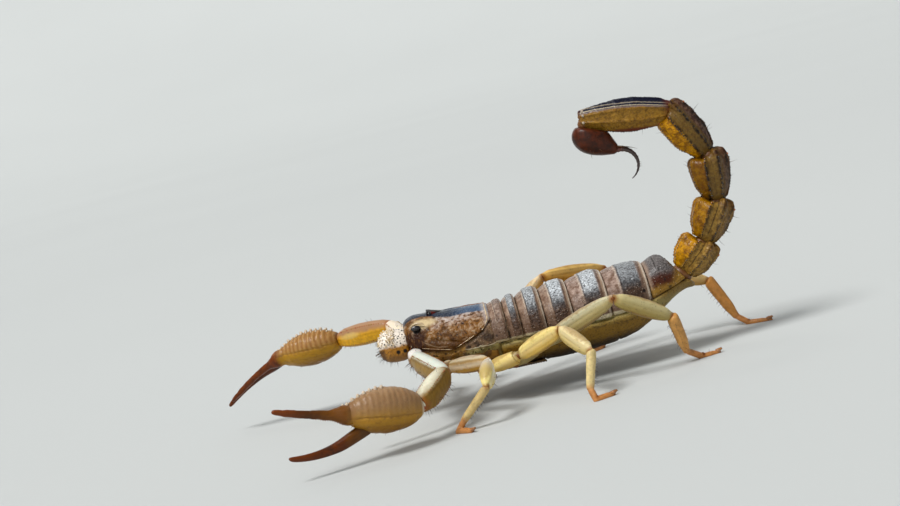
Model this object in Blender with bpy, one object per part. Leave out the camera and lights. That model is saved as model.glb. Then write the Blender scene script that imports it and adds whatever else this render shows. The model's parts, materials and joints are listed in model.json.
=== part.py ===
# A scorpion at life size, about 65 mm from its mouthparts to the end of its sting. It stands on
# seven legs with the eighth held forward, its claws out in front and its tail over its back.
# Lengths are in millimetres until they reach the mesh. The head points to -X, +Z is up, so +Y is
# the animal's right. Headings turn from +X towards +Y, and rises are angles above the floor.
import math

import bmesh
import bpy
from mathutils import Matrix, Vector

MM = 0.001
GAP = 0.3                 # clearance where two pieces meet
FOOT_HEIGHT = 0.3         # middle of a foot above the floor
LEFT, RIGHT = -1, 1       # sign of Y on each side
SIDES = (("left", LEFT), ("right", RIGHT))

# Lengthwise stations of head and trunk: x, half width, height of the widest line, back, underside
BODY = (
    (-8.5, 2.3, 7.3, 9.6, 6.0),
    (-7.5, 2.9, 7.0, 10.1, 5.5),
    (-4.5, 3.8, 6.4, 9.9, 4.9),
    (-2.0, 4.2, 6.0, 9.8, 3.4),
    (0.3, 4.4, 5.9, 9.6, 2.8),
    (4.0, 4.7, 5.8, 9.9, 2.65),
    (9.0, 4.8, 5.7, 10.1, 2.5),
    (13.5, 4.6, 5.8, 10.2, 2.9),
    (16.0, 3.9, 6.3, 10.0, 4.0),
    (18.0, 3.0, 6.9, 9.8, 5.3),
    (19.5, 2.2, 7.3, 9.1, 6.1),
    (21.2, 1.9, 7.2, 8.5, 6.2),
)
BODY_FULLNESS = 2.2       # 2 is an ellipse, more is boxier

# Lower edge of the head shield: x, z. It sweeps up to the back at its rear corner.
SHIELD_EDGE = ((-8.5, 7.7), (-8.1, 7.3), (-6.9, 6.9), (-5.4, 6.5), (-4.3, 6.25),
               (-3.4, 6.45), (-2.0, 7.0), (-0.8, 7.5), (-0.2, 8.1), (0.1, 8.7))
SHIELD_STATIONS = (-8.2, -7.5, -6.4, -5.2, -4.0, -2.8, -1.6, -0.7, -0.1)
SHIELD_FRONT, SHIELD_REAR = -8.45, 0.1

TERGITE_STARTS = (0.3, 1.7, 3.1, 5.5, 8.3, 12.0, 16.2)
TRUNK_END = 21.0          # before the tail's first joint cuts it off
TERGITE_TUCK = 0.35       # how far a back plate's front edge lies under the plate before it

# Tail segments: length, rise, half height, half width
TAIL_ROOT = (19.9, 0.0, 7.7)
TAIL = ((3.7, 42, 1.8, 1.65), (4.3, 58, 1.8, 1.75), (4.8, 87, 1.8, 1.7),
        (5.95, 118, 1.75, 1.65), (8.9, 172, 1.65, 1.55))
TAIL_SHAPES = (
    ((0.0, 0.62), (0.12, 0.86), (0.5, 1.0), (0.85, 1.0), (1.0, 0.86)),
    ((0.0, 0.56), (0.14, 0.84), (0.5, 1.0), (0.82, 1.0), (1.0, 0.78)),
    ((0.0, 0.56), (0.14, 0.84), (0.5, 0.97), (0.85, 1.0), (1.0, 0.76)),
    ((0.0, 0.56), (0.12, 0.8), (0.35, 0.98), (0.65, 1.0), (0.88, 0.86), (1.0, 0.66)),
    ((0.0, 0.6), (0.1, 0.78), (0.3, 0.98), (0.5, 1.0), (0.72, 0.84), (0.9, 0.6), (1.0, 0.44)),
)
TAIL_KEELS = 8
KEEL_DEPTH = 0.08         # share of the radius between two keels

BULB_START, BULB_END = (12.85, 0.0, 24.1), (16.4, 0.0, 21.3)
BULB_HALF_HEIGHT, BULB_HALF_WIDTH = 1.5, 1.4
BULB_DROP = 0.95          # from the tail's last joint down to the top of the bulb
STING_CENTRE, STING_RADIUS = (16.6, 0.0, 19.65), 1.65
STING_TURN = 155          # degrees of arc, from straight on to its tip
STING_THICKNESS = (0.52, 0.5, 0.5, 0.5, 0.46, 0.4)

# Limbs as chains of (length, heading, rise). A leg's rows are its trochanter, femur, patella,
# tibia, basitarsus and tarsus, with the heading only for the two that reach the floor.
LEG_HIPS = ((-6.3, 3.4, 5.6), (-4.5, 3.7, 4.8), (-1.2, 4.2, 3.9), (1.3, 4.35, 3.7))
LEG_THICKNESS = (1.1, 1.45, 1.6, 1.6)
LEGS = {
    ("left", 1): ((1.8, -100, -12), (3.1, -72, -22), (3.6, -130, -14), (3.0, -152, -1),
                  (1.4, -158, 0), (1.6, -161, 4)),
    ("left", 2): ((1.9, -102, 6), (6.3, -52, 4), (4.0, -104, -28), (3.6, -178, -42),
                  (1.1, 156), (1.9, -50)),
    ("left", 3): ((4.0, -36, 10), (5.1, -25, 21), (5.2, -62, -24), (3.5, -123, -59),
                  (1.2, -60), (2.0, 23)),
    ("left", 4): ((3.5, -22, 21), (9.1, -27, 21), (6.4, 16, -31), (3.8, 56, -72),
                  (2.0, 26), (1.8, 13)),
    ("right", 1): ((1.9, 108, 3), (4.2, 74, -15), (2.8, 106, -46), (2.2, 165, -40),
                   (1.6, 184), (1.8, 178)),
    ("right", 2): ((2.1, 78, 14), (4.4, 74, 23), (3.5, 66, -48), (3.0, -95, -72),
                   (1.6, 20), (1.9, 74)),
    ("right", 3): ((3.1, 45, 24), (8.2, 34, 32), (7.8, 27, -8), (6.2, 167, -69),
                   (2.9, 226), (2.0, 40)),
    ("right", 4): ((3.4, 20, 21), (12.8, 12, 14), (7.4, -3, -22), (4.5, -24, -64),
                   (1.5, -19), (2.4, -26)),
}

# Claw arms: trochanter, femur, patella and hand, then the rise of the fixed finger and how far
# the movable one stands open. The roll turns the hand about its own length.
PALP_HIP = (-7.9, 3.2, 6.5)
PALPS = {
    "left": dict(rows=((1.9, -86, -2), (6.4, -68, -10), (5.5, -120, -17), (6.9, -163, 9)),
                 roll=0, bend=3, fixed_root=-0.1, fixed_bow=-0.8, gape=34,
                 movable_start=-0.75, movable_root=1.75, movable_bow=-2.7),
    "right": dict(rows=((1.8, 104, 14), (6.0, 107, 12), (7.0, 145, -3.5), (6.8, 163, -5.5)),
                  roll=-60, bend=-6, fixed_root=0.7, fixed_bow=2.3, gape=-3,
                  movable_start=0.25, movable_root=0.95, movable_bow=2.3),
}
PALP_THICKNESS = dict(trochanter=1.9, femur=1.9, patella=2.5)
HAND_HALF_HEIGHT, HAND_HALF_WIDTH = 2.2, 1.75
FIXED_FINGER, MOVABLE_FINGER = 7.3, 8.1

# Base colours (red, green, blue) and roughness
COLOURS = {
    "shield": ((0.20, 0.12, 0.06), 0.35),
    "back": ((0.17, 0.15, 0.14), 0.35),
    "belly": ((0.32, 0.24, 0.09), 0.5),
    "leg": ((0.62, 0.48, 0.22), 0.4),
    "foot": ((0.50, 0.24, 0.09), 0.4),
    "tail": ((0.36, 0.20, 0.05), 0.4),
    "bulb": ((0.10, 0.03, 0.02), 0.25),
    "hand": ((0.38, 0.22, 0.08), 0.35),
    "finger": ((0.22, 0.06, 0.02), 0.3),
    "jaw": ((0.42, 0.28, 0.10), 0.5),
    "eye": ((0.01, 0.01, 0.01), 0.08),
}


def smooth(table, x, column=1):
    # a smooth curve through one column of a table whose first column is x
    i = max(1, min(len(table) - 1, sum(row[0] < x for row in table)))
    before, after = table[i - 1], table[i]
    first, last = table[max(i - 2, 0)], table[min(i + 1, len(table) - 1)]
    width = after[0] - before[0]
    t = min(max((x - before[0]) / width, 0), 1)
    slope_in = (after[column] - first[column]) / (after[0] - first[0]) * width
    slope_out = (last[column] - before[column]) / (last[0] - before[0]) * width
    return ((2 * t**3 - 3 * t**2 + 1) * before[column] + (t**3 - 2 * t**2 + t) * slope_in
            + (3 * t**2 - 2 * t**3) * after[column] + (t**3 - t**2) * slope_out)


def direction(heading, rise):
    heading, rise = math.radians(heading), math.radians(rise)
    return Vector((math.cos(rise) * math.cos(heading), math.cos(rise) * math.sin(heading),
                   math.sin(rise)))


def superellipse(angle, fullness):
    # a point of the unit superellipse; 2 is a circle
    c, s = math.cos(angle), math.sin(angle)
    return (math.copysign(abs(c) ** (2 / fullness), c),
            math.copysign(abs(s) ** (2 / fullness), s))


# ---- shared mesh making ----

def loft(rings):
    # a closed skin over a row of rings, which all have the same number of points
    bm = bmesh.new()
    loops = [[bm.verts.new(point) for point in ring] for ring in rings]
    for near, far in zip(loops, loops[1:]):
        for i in range(len(near)):
            j = (i + 1) % len(near)
            bm.faces.new((near[i], near[j], far[j], far[i]))
    bm.faces.new(loops[0])
    bm.faces.new(loops[-1])
    bmesh.ops.recalc_face_normals(bm, faces=bm.faces)
    return bm


def trim(bm, point, outward):
    # cuts off what lies beyond a plane and closes the cut
    geometry = bm.verts[:] + bm.edges[:] + bm.faces[:]
    bmesh.ops.bisect_plane(bm, geom=geometry, dist=1e-4, plane_co=point, plane_no=outward,
                           clear_outer=True)
    bmesh.ops.holes_fill(bm, edges=[edge for edge in bm.edges if edge.is_boundary])
    bmesh.ops.recalc_face_normals(bm, faces=bm.faces)
    return bm


def spindle(start, end, half_width, half_height, shape, sides=8, fullness=2.2, up=(0, 0, 1),
            keeled=False, bow=(0, 0, 0)):
    # a limb-like body along a line; shape holds (place along it, share of the full thickness),
    # and bow is how far its end has curved away from the line
    start, end = Vector(start), Vector(end)
    axis = (end - start).normalized()
    side = axis.cross(Vector(up)).normalized()
    top = side.cross(axis)
    rings = []
    for along, share in shape:
        centre = start.lerp(end, along) + Vector(bow) * along**2
        ring = []
        for k in range(sides):
            turn = k if keeled else k + 0.5
            across, upright = superellipse(math.tau * turn / sides, fullness)
            reach = share * (1 - KEEL_DEPTH * (1 - k % 2) if keeled else 1)
            ring.append(centre + side * across * half_width * reach
                        + top * upright * half_height * reach)
        rings.append(ring)
    return loft(rings)


def new_mesh(bm, name):
    mesh = bpy.data.meshes.new(name)
    bm.to_mesh(mesh)
    bm.free()
    return mesh


def new_object(mesh, name):
    thing = bpy.data.objects.new(name, mesh)
    bpy.context.scene.collection.objects.link(thing)
    return thing


def fuse(pieces, name):
    # joins overlapping closed bodies into one
    base = new_object(new_mesh(pieces[0], name), name)
    for number, piece in enumerate(pieces[1:]):
        tool = new_object(new_mesh(piece, f"{name}_tool"), f"{name}_tool_{number}")
        union = base.modifiers.new("union", "BOOLEAN")
        union.operation = "UNION"
        union.solver = "EXACT"
        union.use_self = True
        union.object = tool
        bpy.context.view_layer.update()
        evaluated = base.evaluated_get(bpy.context.evaluated_depsgraph_get())
        joined = bpy.data.meshes.new_from_object(evaluated)
        base.modifiers.clear()
        base.data = joined
        bpy.data.objects.remove(tool)
    bm = bmesh.new()
    bm.from_mesh(base.data)
    bmesh.ops.remove_doubles(bm, verts=bm.verts, dist=1e-3)
    bpy.data.objects.remove(base)
    return bm


def add_part(bm, name, finish):
    colour, roughness = COLOURS[finish]
    part = new_object(new_mesh(bm, name), name)
    part.data.transform(Matrix.Scale(MM, 4))
    material = bpy.data.materials.new(name)
    material.use_nodes = True
    shader = material.node_tree.nodes["Principled BSDF"]
    shader.inputs["Base Color"].default_value = (*colour, 1)
    shader.inputs["Roughness"].default_value = roughness
    shader.inputs["Metallic"].default_value = 0
    part.data.materials.append(material)
    part.data.shade_smooth()
    part.data.set_sharp_from_angle(angle=math.radians(40))
    return part


# ---- head and trunk ----

def body_angle(x, z):
    # where the body's outline at x passes the height z, as the angle of its superellipse
    waist = smooth(BODY, x, 2)
    reach = smooth(BODY, x, 3) - waist if z > waist else waist - smooth(BODY, x, 4)
    share = min(abs(z - waist) / reach, 1) ** (BODY_FULLNESS / 2)
    return math.copysign(math.asin(share), z - waist)


def body_arc(x, first, last, count, inset=0):
    # points of the body's outline at x between two angles; pi / 2 is the middle of the back
    waist, ring = smooth(BODY, x, 2), []
    half_width = smooth(BODY, x, 1) - inset
    rise, fall = smooth(BODY, x, 3) - waist - inset, waist - smooth(BODY, x, 4) - inset
    for k in range(count):
        across, upright = superellipse(first + (last - first) * k / (count - 1), BODY_FULLNESS)
        reach = rise if upright > 0 else fall
        ring.append((x, half_width * across, waist + reach * upright))
    return ring


def head_shield():
    def ring(x, inset=0):
        low = body_angle(x, smooth(SHIELD_EDGE, x) + inset)
        return body_arc(x, low, math.pi - low, 17, inset)

    front = [(SHIELD_FRONT, y, z) for _, y, z in ring(SHIELD_STATIONS[0], 0.35)]
    rear = [(SHIELD_REAR, y, z) for _, y, z in ring(SHIELD_STATIONS[-1], 0.15)]
    rings = [front] + [ring(x) for x in SHIELD_STATIONS] + [rear]
    add_part(loft(rings), "head_shield", "shield")


def eyes():
    mound = spindle((-6.0, 0, 9.75), (-4.3, 0, 9.6), 0.75, 0.55,
                    ((0, 0.86), (0.06, 1), (0.5, 0.92), (0.85, 0.7), (1, 0.4)), 8, 3.5)
    front, rear = (Vector((x, 0, smooth(BODY, x, 3) + 0.12)) for x in (-6.0, -4.3))
    add_part(trim(mound, front, Vector((0, 1, 0)).cross(rear - front)), "eye_mound", "eye")
    for side, sign in SIDES:
        middle = Vector((-7.2, sign * 2.62, 9.1))
        outward = Vector((-0.2, sign * 0.84, 0.5)).normalized()
        lens = spindle(middle, middle + outward * 0.32, 0.5, 0.38,
                       ((0, 0.9), (0.4, 1), (0.8, 0.8), (1, 0.45)), 10, 2)
        add_part(lens, f"side_eye_{side}", "eye")


def jaws():
    for side, sign in SIDES:
        barrel = spindle((-8.78, sign * 1.05, 7.6), (-11.2, sign * 0.9, 7.95), 0.9, 1.42,
                         ((0, 0.8), (0.15, 0.94), (0.5, 1), (0.8, 0.88), (0.95, 0.62), (1, 0.4)),
                         10, 2.4)
        fang = spindle((-10.4, sign * 0.75, 7.35), (-11.1, sign * 0.55, 6.95), 0.36, 0.4,
                       ((0, 1), (0.5, 0.9), (1, 0.6)), 6)
        add_part(fuse([barrel, fang], f"jaw_{side}"), f"jaw_{side}", "jaw")


def underside_of_head():
    # the breast plate with the ten coxae that carry the limbs
    stations = (-8.2, -7.4, -6.2, -5.0, -3.8, -2.6, -1.4, -0.3, 0.2)

    def ring(x):
        top = body_angle(x, smooth(SHIELD_EDGE, x) - GAP)
        return body_arc(x, top, -math.pi - top, 13, 0.25)

    pieces = [loft([ring(x) for x in stations])]
    coxa = ((0, 0.7), (0.2, 0.95), (0.8, 1), (1, 0.8))
    for side, sign in SIDES:
        hips = [PALP_HIP, *LEG_HIPS]
        limbs = [PALPS[side]["rows"]] + [LEGS[side, number] for number in range(1, 5)]
        roots = ((-5.2, 1.2, 5.2), (-4.7, 1.0, 5.1), (-3.4, 0.9, 4.7), (-2.0, 0.9, 4.0),
                 (-1.4, 2.1, 3.9))
        sizes = ((1.9, 1.1), (1.2, 1.2), (1.35, 1.35), (1.4, 1.4), (1.15, 1.15))
        for root, hip, rows, (wide, high) in zip(roots, hips, limbs, sizes):
            root, hip = (Vector((x, sign * y, z)) for x, y, z in (root, hip))
            outward = direction(*rows[0][1:])
            piece = spindle(root, hip, wide / 2, high / 2, coxa, 6)
            pieces.append(trim(piece, hip - outward * GAP / 2, outward))
    add_part(fuse(pieces, "breast"), "breast", "belly")


def cut_off_at_tail(bm):
    along = direction(0, TAIL[0][1])
    return trim(bm, Vector(TAIL_ROOT) - along * GAP / 2, along)


def back_plates():
    ends = [start - GAP / 2 for start in TERGITE_STARTS[1:]] + [TRUNK_END]
    for number, (start, end) in enumerate(zip(TERGITE_STARTS, ends), 1):
        shape = ((0, TERGITE_TUCK), (0.18, 0.22), (0.4, 0.06), (0.7, 0), (0.9, 0.02), (1, 0.16))
        if end == TRUNK_END:
            shape = shape[:4] + ((1, 0),)
        rings = []
        for along, inset in shape:
            x = start + (end - start) * along
            low = body_angle(x, smooth(BODY, x, 2) + GAP / 2)
            rings.append(body_arc(x, low, math.pi - low, 15, inset))
        plate = loft(rings)
        if end == TRUNK_END:
            cut_off_at_tail(plate)
        add_part(plate, f"back_plate_{number}", "back")


def belly():
    stations = (0.55, 1.2, 2.5, 4.5, 7.0, 9.5, 12.0, 14.0, 15.6, 17.0, 18.3, 19.5, TRUNK_END)
    rings = []
    for x in stations:
        top = body_angle(x, smooth(BODY, x, 2) - GAP / 2)
        inset = 0.5 if x == stations[0] else 0.15
        rings.append(body_arc(x, top, -math.pi - top, 13, inset))
    add_part(cut_off_at_tail(loft(rings)), "belly", "belly")


def combs():
    # the pair of comb organs that hang behind the last coxae
    for side, sign in SIDES:
        blade = spindle((1.2, sign * 1.0, 2.42), (4.4, sign * 2.9, 2.62), 0.6, 0.22,
                        ((0, 0.6), (0.15, 1), (0.6, 1), (0.9, 0.75), (1, 0.5)), 8, 3)
        add_part(blade, f"comb_{side}", "belly")


# ---- tail ----

def joint_planes(directions):
    # the plane that halves the bend at each joint of a chain
    return [(before + after).normalized() for before, after in zip(directions, directions[1:])]


def tail_line():
    joints = [Vector(TAIL_ROOT)]
    directions = [direction(0, rise) for _, rise, _, _ in TAIL]
    for row, along in zip(TAIL, directions):
        joints.append(joints[-1] + along * row[0])
    return joints, directions


def tail():
    joints, directions = tail_line()
    planes = [directions[0], *joint_planes(directions), directions[-1]]
    for number, (row, shape) in enumerate(zip(TAIL, TAIL_SHAPES)):
        start, end = joints[number], joints[number + 1]
        segment = spindle(start, end, row[2], row[3], shape, 2 * TAIL_KEELS, 2.6,
                          up=(0, 1, 0), keeled=True)
        trim(segment, start + planes[number] * GAP / 2, -planes[number])
        trim(segment, end - planes[number + 1] * GAP / 2, planes[number + 1])
        add_part(segment, f"tail_{number + 1}", "tail")


def sting():
    shape = ((0, 0.3), (0.06, 0.62), (0.18, 0.9), (0.34, 1), (0.52, 0.95), (0.7, 0.72),
             (0.87, 0.4), (1, 0.2))
    bulb = spindle(BULB_START, BULB_END, BULB_HALF_WIDTH, BULB_HALF_HEIGHT, shape, 12, 2)
    joints, directions = tail_line()
    under = directions[-1].cross(Vector((0, 1, 0)))
    trim(bulb, joints[-1] + under * BULB_DROP, directions[-1] * -0.23 - under)
    add_part(bulb, "sting_bulb", "bulb")
    steps, rings = 9, []
    for k in range(steps):
        share = k / (steps - 1)
        angle = math.radians(90 - STING_TURN * share)
        outward = Vector((math.cos(angle), 0, math.sin(angle)))
        centre = Vector(STING_CENTRE) + outward * STING_RADIUS
        place = share * (len(STING_THICKNESS) - 1)
        low = min(int(place), len(STING_THICKNESS) - 2)
        radius = (STING_THICKNESS[low] + (STING_THICKNESS[low + 1] - STING_THICKNESS[low])
                  * (place - low)) / 2
        rings.append([centre + outward * radius * math.cos(turn) + Vector((0, 1, 0)) * radius
                      * math.sin(turn) for turn in (math.tau * (n + 0.5) / 8 for n in range(8))])
    point = trim(loft(rings), Vector(BULB_END) + Vector((GAP, 0, 0)), (-1, 0, 0))
    add_part(point, "sting_point", "bulb")


# ---- limbs ----

def chain(start, rows):
    # joints and directions of a limb; a row with no rise brings its end down to the floor
    joints, directions = [Vector(start)], []
    for row in rows:
        length, heading = row[:2]
        if len(row) > 2:
            rise = row[2]
        else:
            drop = (FOOT_HEIGHT - joints[-1].z) / length
            rise = math.degrees(math.asin(max(-1, min(1, drop))))
        directions.append(direction(heading, rise))
        joints.append(joints[-1] + directions[-1] * length)
    return joints, directions


def limb_piece(joints, directions, first, last, sizes, shapes, name, finish, sides=8):
    # one named piece of a limb, made of the chain's links first to last
    planes = [directions[0], *joint_planes(directions), directions[-1]]
    links = []
    for k in range(first, last + 1):
        wide, high = sizes[k - first]
        link = spindle(joints[k], joints[k + 1], wide / 2, high / 2, shapes[k - first],
                       6 if high < 0.7 else sides)
        if k == first:
            trim(link, joints[k] + planes[k] * GAP / 2, -planes[k])
        if k == last and last < len(directions) - 1:
            trim(link, joints[k + 1] - planes[k + 1] * GAP / 2, planes[k + 1])
        links.append(link)
    bm = fuse(links, name) if len(links) > 1 else links[0]
    if bm.verts and min(v.co.z for v in bm.verts) < 0:
        trim(bm, (0, 0, 0), (0, 0, -1))
    add_part(bm, name, finish)


def leg(side, number):
    sign = RIGHT if side == "right" else LEFT
    x, y, z = LEG_HIPS[number - 1]
    joints, directions = chain((x, sign * y, z), LEGS[side, number])
    thick = LEG_THICKNESS[number - 1]
    root = ((-0.1, 0.5), (0.2, 0.8), (0.8, 0.85), (1.15, 0.6))
    thigh = ((-0.04, 0.55), (0.1, 0.8), (0.4, 1), (0.75, 0.95), (0.95, 0.8), (1, 0.6))
    knee = ((0, 0.65), (0.1, 0.86), (0.35, 1), (0.7, 0.93), (0.93, 0.78), (1, 0.55))
    shin = ((0, 0.8), (0.15, 1), (0.6, 0.85), (0.95, 0.8), (1.03, 0.6))
    ankle = ((-0.12, 0.7), (0.2, 1), (0.8, 0.95), (1.1, 0.8))
    toe = ((-0.1, 0.8), (0.15, 1), (0.6, 0.9), (1, 0.55))
    name = f"leg_{number}_{side}"
    limb_piece(joints, directions, 0, 1, ((0.75 * thick, 0.8 * thick), (0.72 * thick, thick)),
               (root, thigh), f"{name}_femur", "leg")
    limb_piece(joints, directions, 2, 2, ((0.68 * thick, 0.95 * thick),), (knee,),
               f"{name}_patella", "leg")
    limb_piece(joints, directions, 3, 5, ((0.6 * thick, 0.62 * thick), (0.6, 0.6), (0.6, 0.66)),
               (shin, ankle, toe), f"{name}_foot", "foot")


def hand(side, joints, directions, pose):
    # the hand with its fixed finger, and the movable finger beside it
    start, end, along = joints[-2], joints[-1], directions[-1]
    across = along.cross(Vector((0, 0, 1))).normalized()
    top = across.cross(along)
    turn = math.radians(pose["roll"] * (-1 if side == "left" else 1))
    high = top * math.cos(turn) + across * math.sin(turn)
    palm = spindle(start, end, HAND_HALF_WIDTH, HAND_HALF_HEIGHT,
                   ((0, 0.36), (0.05, 0.52), (0.18, 0.8), (0.38, 0.98), (0.58, 1), (0.78, 0.86),
                    (0.92, 0.64), (1.0, 0.4)), 12, 2.1, up=high)
    wrist = joint_planes(directions)[-1]
    trim(palm, start + wrist * GAP / 2, -wrist)

    def finger(root, gape, length, thick, shape, bow):
        bend, gape = math.radians(pose["bend"]), math.radians(gape)
        aim = along * math.cos(bend) + top * math.sin(bend)
        aim = (aim * math.cos(gape) - high * math.sin(gape)).normalized()
        return spindle(root, root + aim * length, thick * 0.4, thick / 2, shape, 8, 2.1, up=high,
                       bow=-bow * top)

    fixed = finger(end - along * 1.4 + high * pose["fixed_root"], 0,
                   FIXED_FINGER + 1.4, 1.7,
                   ((0, 1), (0.16, 0.98), (0.28, 0.66), (0.45, 0.46), (0.7, 0.4), (0.92, 0.34),
                    (1, 0.22)), pose["fixed_bow"])
    whole = fuse([palm, fixed], f"claw_{side}_hand")
    root = end + along * pose["movable_start"] - high * pose["movable_root"]
    movable = finger(root, pose["gape"], MOVABLE_FINGER, 1.4,
                     ((0, 0.7), (0.08, 1), (0.22, 0.86), (0.42, 0.66), (0.7, 0.52), (0.92, 0.42),
                      (1, 0.28)), pose["movable_bow"])
    add_part(whole, f"claw_{side}_hand", "hand")
    add_part(movable, f"claw_{side}_finger", "finger")


def claw_arm(side):
    sign = RIGHT if side == "right" else LEFT
    pose = PALPS[side]
    joints, directions = chain((PALP_HIP[0], sign * PALP_HIP[1], PALP_HIP[2]), pose["rows"])
    shapes = {
        "trochanter": ((0, 0.6), (0.25, 0.95), (0.7, 1), (1, 0.8)),
        "femur": ((0, 0.8), (0.1, 0.95), (0.4, 1), (0.8, 1), (0.95, 0.85), (1, 0.7)),
        "patella": ((0, 0.55), (0.1, 0.8), (0.4, 1), (0.75, 0.95), (0.93, 0.7), (1, 0.5)),
    }
    for k, (name, shape) in enumerate(shapes.items()):
        thick = PALP_THICKNESS[name]
        limb_piece(joints, directions, k, k, ((0.85 * thick, thick),), (shape,),
                   f"claw_{side}_{name}", "leg", sides=10)
    hand(side, joints, directions, pose)


# ---- the whole animal ----

def stand_on_origin():
    # moves every piece so that the middle of the whole animal's footprint is the origin
    parts = [thing for thing in bpy.data.objects if thing.type == "MESH"]
    points = [vertex.co for part in parts for vertex in part.data.vertices]
    low = [min(point[i] for point in points) for i in range(3)]
    high = [max(point[i] for point in points) for i in range(3)]
    shift = Vector(((low[0] + high[0]) / 2, (low[1] + high[1]) / 2, low[2]))
    for part in parts:
        part.location = -shift


def main():
    for thing in list(bpy.data.objects):
        bpy.data.objects.remove(thing)
    head_shield()
    eyes()
    jaws()
    underside_of_head()
    back_plates()
    belly()
    combs()
    tail()
    sting()
    for side, _ in SIDES:
        claw_arm(side)
        for number in range(1, 5):
            leg(side, number)
    stand_on_origin()


main()
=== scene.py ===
# A scorpion at life size, dressed over its solid frame: glossy plates, keeled tail, granular hands,
# soft skin between the plates, bristles and claws. Shapes are made in millimetres, measured from a
# point on the floor under the rear edge of the head shield; the head points to -X.
import json
import math
import random

import bmesh
import bpy
from mathutils import Matrix, Vector
from mathutils.bvhtree import BVHTree

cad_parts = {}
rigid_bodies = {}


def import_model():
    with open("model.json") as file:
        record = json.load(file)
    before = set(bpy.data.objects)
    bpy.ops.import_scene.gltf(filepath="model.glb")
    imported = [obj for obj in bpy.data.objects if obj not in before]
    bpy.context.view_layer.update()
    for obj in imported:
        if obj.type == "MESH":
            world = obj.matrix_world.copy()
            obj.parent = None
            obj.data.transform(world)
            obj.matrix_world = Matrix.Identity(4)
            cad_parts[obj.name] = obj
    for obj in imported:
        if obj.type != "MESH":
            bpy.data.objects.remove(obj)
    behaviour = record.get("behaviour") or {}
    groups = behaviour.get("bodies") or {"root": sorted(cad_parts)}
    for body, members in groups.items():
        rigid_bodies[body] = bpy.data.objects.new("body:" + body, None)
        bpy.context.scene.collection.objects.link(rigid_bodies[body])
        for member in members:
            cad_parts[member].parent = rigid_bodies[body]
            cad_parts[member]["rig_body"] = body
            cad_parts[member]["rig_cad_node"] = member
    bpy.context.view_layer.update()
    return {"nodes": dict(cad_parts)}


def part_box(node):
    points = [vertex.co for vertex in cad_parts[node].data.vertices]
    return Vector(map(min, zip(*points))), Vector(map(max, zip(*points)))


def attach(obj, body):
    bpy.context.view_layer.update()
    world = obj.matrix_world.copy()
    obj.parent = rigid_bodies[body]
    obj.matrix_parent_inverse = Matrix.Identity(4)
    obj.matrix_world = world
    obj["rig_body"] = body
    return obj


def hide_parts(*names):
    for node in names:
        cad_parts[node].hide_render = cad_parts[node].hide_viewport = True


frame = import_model()
shieldLow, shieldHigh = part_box("head_shield")
shieldRear = 0.0001      # the measuring point lies this far in front of the shield's rear end
origin = Vector((shieldHigh.x - shieldRear, (shieldLow.y + shieldHigh.y) / 2, 0))
toMillimetres = Matrix.Scale(1000, 4) @ Matrix.Translation(-origin)
toMetres = Matrix.Translation(origin) @ Matrix.Scale(0.001, 4)
fine = 1.0
sides = {"left": -1, "right": 1}


def pick(*pieces):
    # selects these pieces and nothing else; the first is the active one
    if bpy.context.object and bpy.context.object.mode != "OBJECT":
        bpy.ops.object.mode_set(mode="OBJECT")
    bpy.ops.object.select_all(action="DESELECT")
    for piece in pieces:
        piece.select_set(True)
    if pieces:
        bpy.context.view_layer.objects.active = pieces[0]


def editMesh(piece, mode="VERT", action="SELECT"):
    pick(piece)
    bpy.ops.object.mode_set(mode="EDIT")
    bpy.ops.mesh.select_mode(type=mode)
    bpy.ops.mesh.select_all(action=action)


def leaveEdit():
    bpy.ops.object.mode_set(mode="OBJECT")


def modify(piece, kind, **settings):
    pick(piece)
    modifier = piece.modifiers.new(kind.lower(), kind)
    for name, value in settings.items():
        setattr(modifier, name, value)
    bpy.ops.object.modifier_apply(modifier=modifier.name)


def group(piece, weigh):
    # a vertex group whose weight at each point is weigh(point)
    made = piece.vertex_groups.new(name="weights")
    for vertex in piece.data.vertices:
        weight = weigh(vertex.co)
        if weight > 0:
            made.add([vertex.index], min(weight, 1), "REPLACE")
    return made.name


def push(piece, distance, weigh=None):
    # moves a skin outwards, where weigh(point) says so
    where = {"vertex_group": group(piece, weigh)} if weigh else {}
    modify(piece, "DISPLACE", strength=distance, mid_level=0.0, **where)


def roughen(piece, made, strength, mid=0.5, where=""):
    modify(piece, "DISPLACE", texture=made, texture_coords="LOCAL", strength=strength, mid_level=mid,
        vertex_group=where)


def joinAll(pieces, name):
    pick(*pieces)
    bpy.ops.object.join()
    pieces[0].name = name
    return pieces[0]


def copyOf(node, name):
    # a clean copy of a CAD node, in millimetres, with its triangles merged back into quads
    piece = frame["nodes"][node].copy()
    piece.data = frame["nodes"][node].data.copy()
    piece.parent = None
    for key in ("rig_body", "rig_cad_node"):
        del piece[key]
    bpy.context.scene.collection.objects.link(piece)
    piece.name = name
    piece.data.materials.clear()
    piece.data.transform(toMillimetres)
    flat, quad = math.radians(0.4), math.radians(60)
    editMesh(piece)
    bpy.ops.mesh.remove_doubles(threshold=0.002)
    bpy.ops.mesh.dissolve_limited(angle_limit=flat)
    bpy.ops.mesh.tris_convert_to_quads(face_threshold=quad, shape_threshold=quad)
    leaveEdit()
    return piece


def roundOff(piece, voxel, rounds, swell, levels, rims=0.0):
    # rounds a faceted piece, gives it an even fine skin and makes up for what rounding takes away
    if rims:      # keeps the edges of end faces from being rounded away
        editMesh(piece, "EDGE", "DESELECT")
        bpy.ops.mesh.edges_select_sharp(sharpness=math.radians(50))
        bpy.ops.transform.edge_crease(value=rims)
        leaveEdit()
    if levels:
        modify(piece, "SUBSURF", levels=levels, render_levels=levels)
    modify(piece, "REMESH", mode="VOXEL", voxel_size=voxel * fine, adaptivity=0)
    modify(piece, "SMOOTH", factor=0.5, iterations=rounds)
    push(piece, swell)


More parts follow.
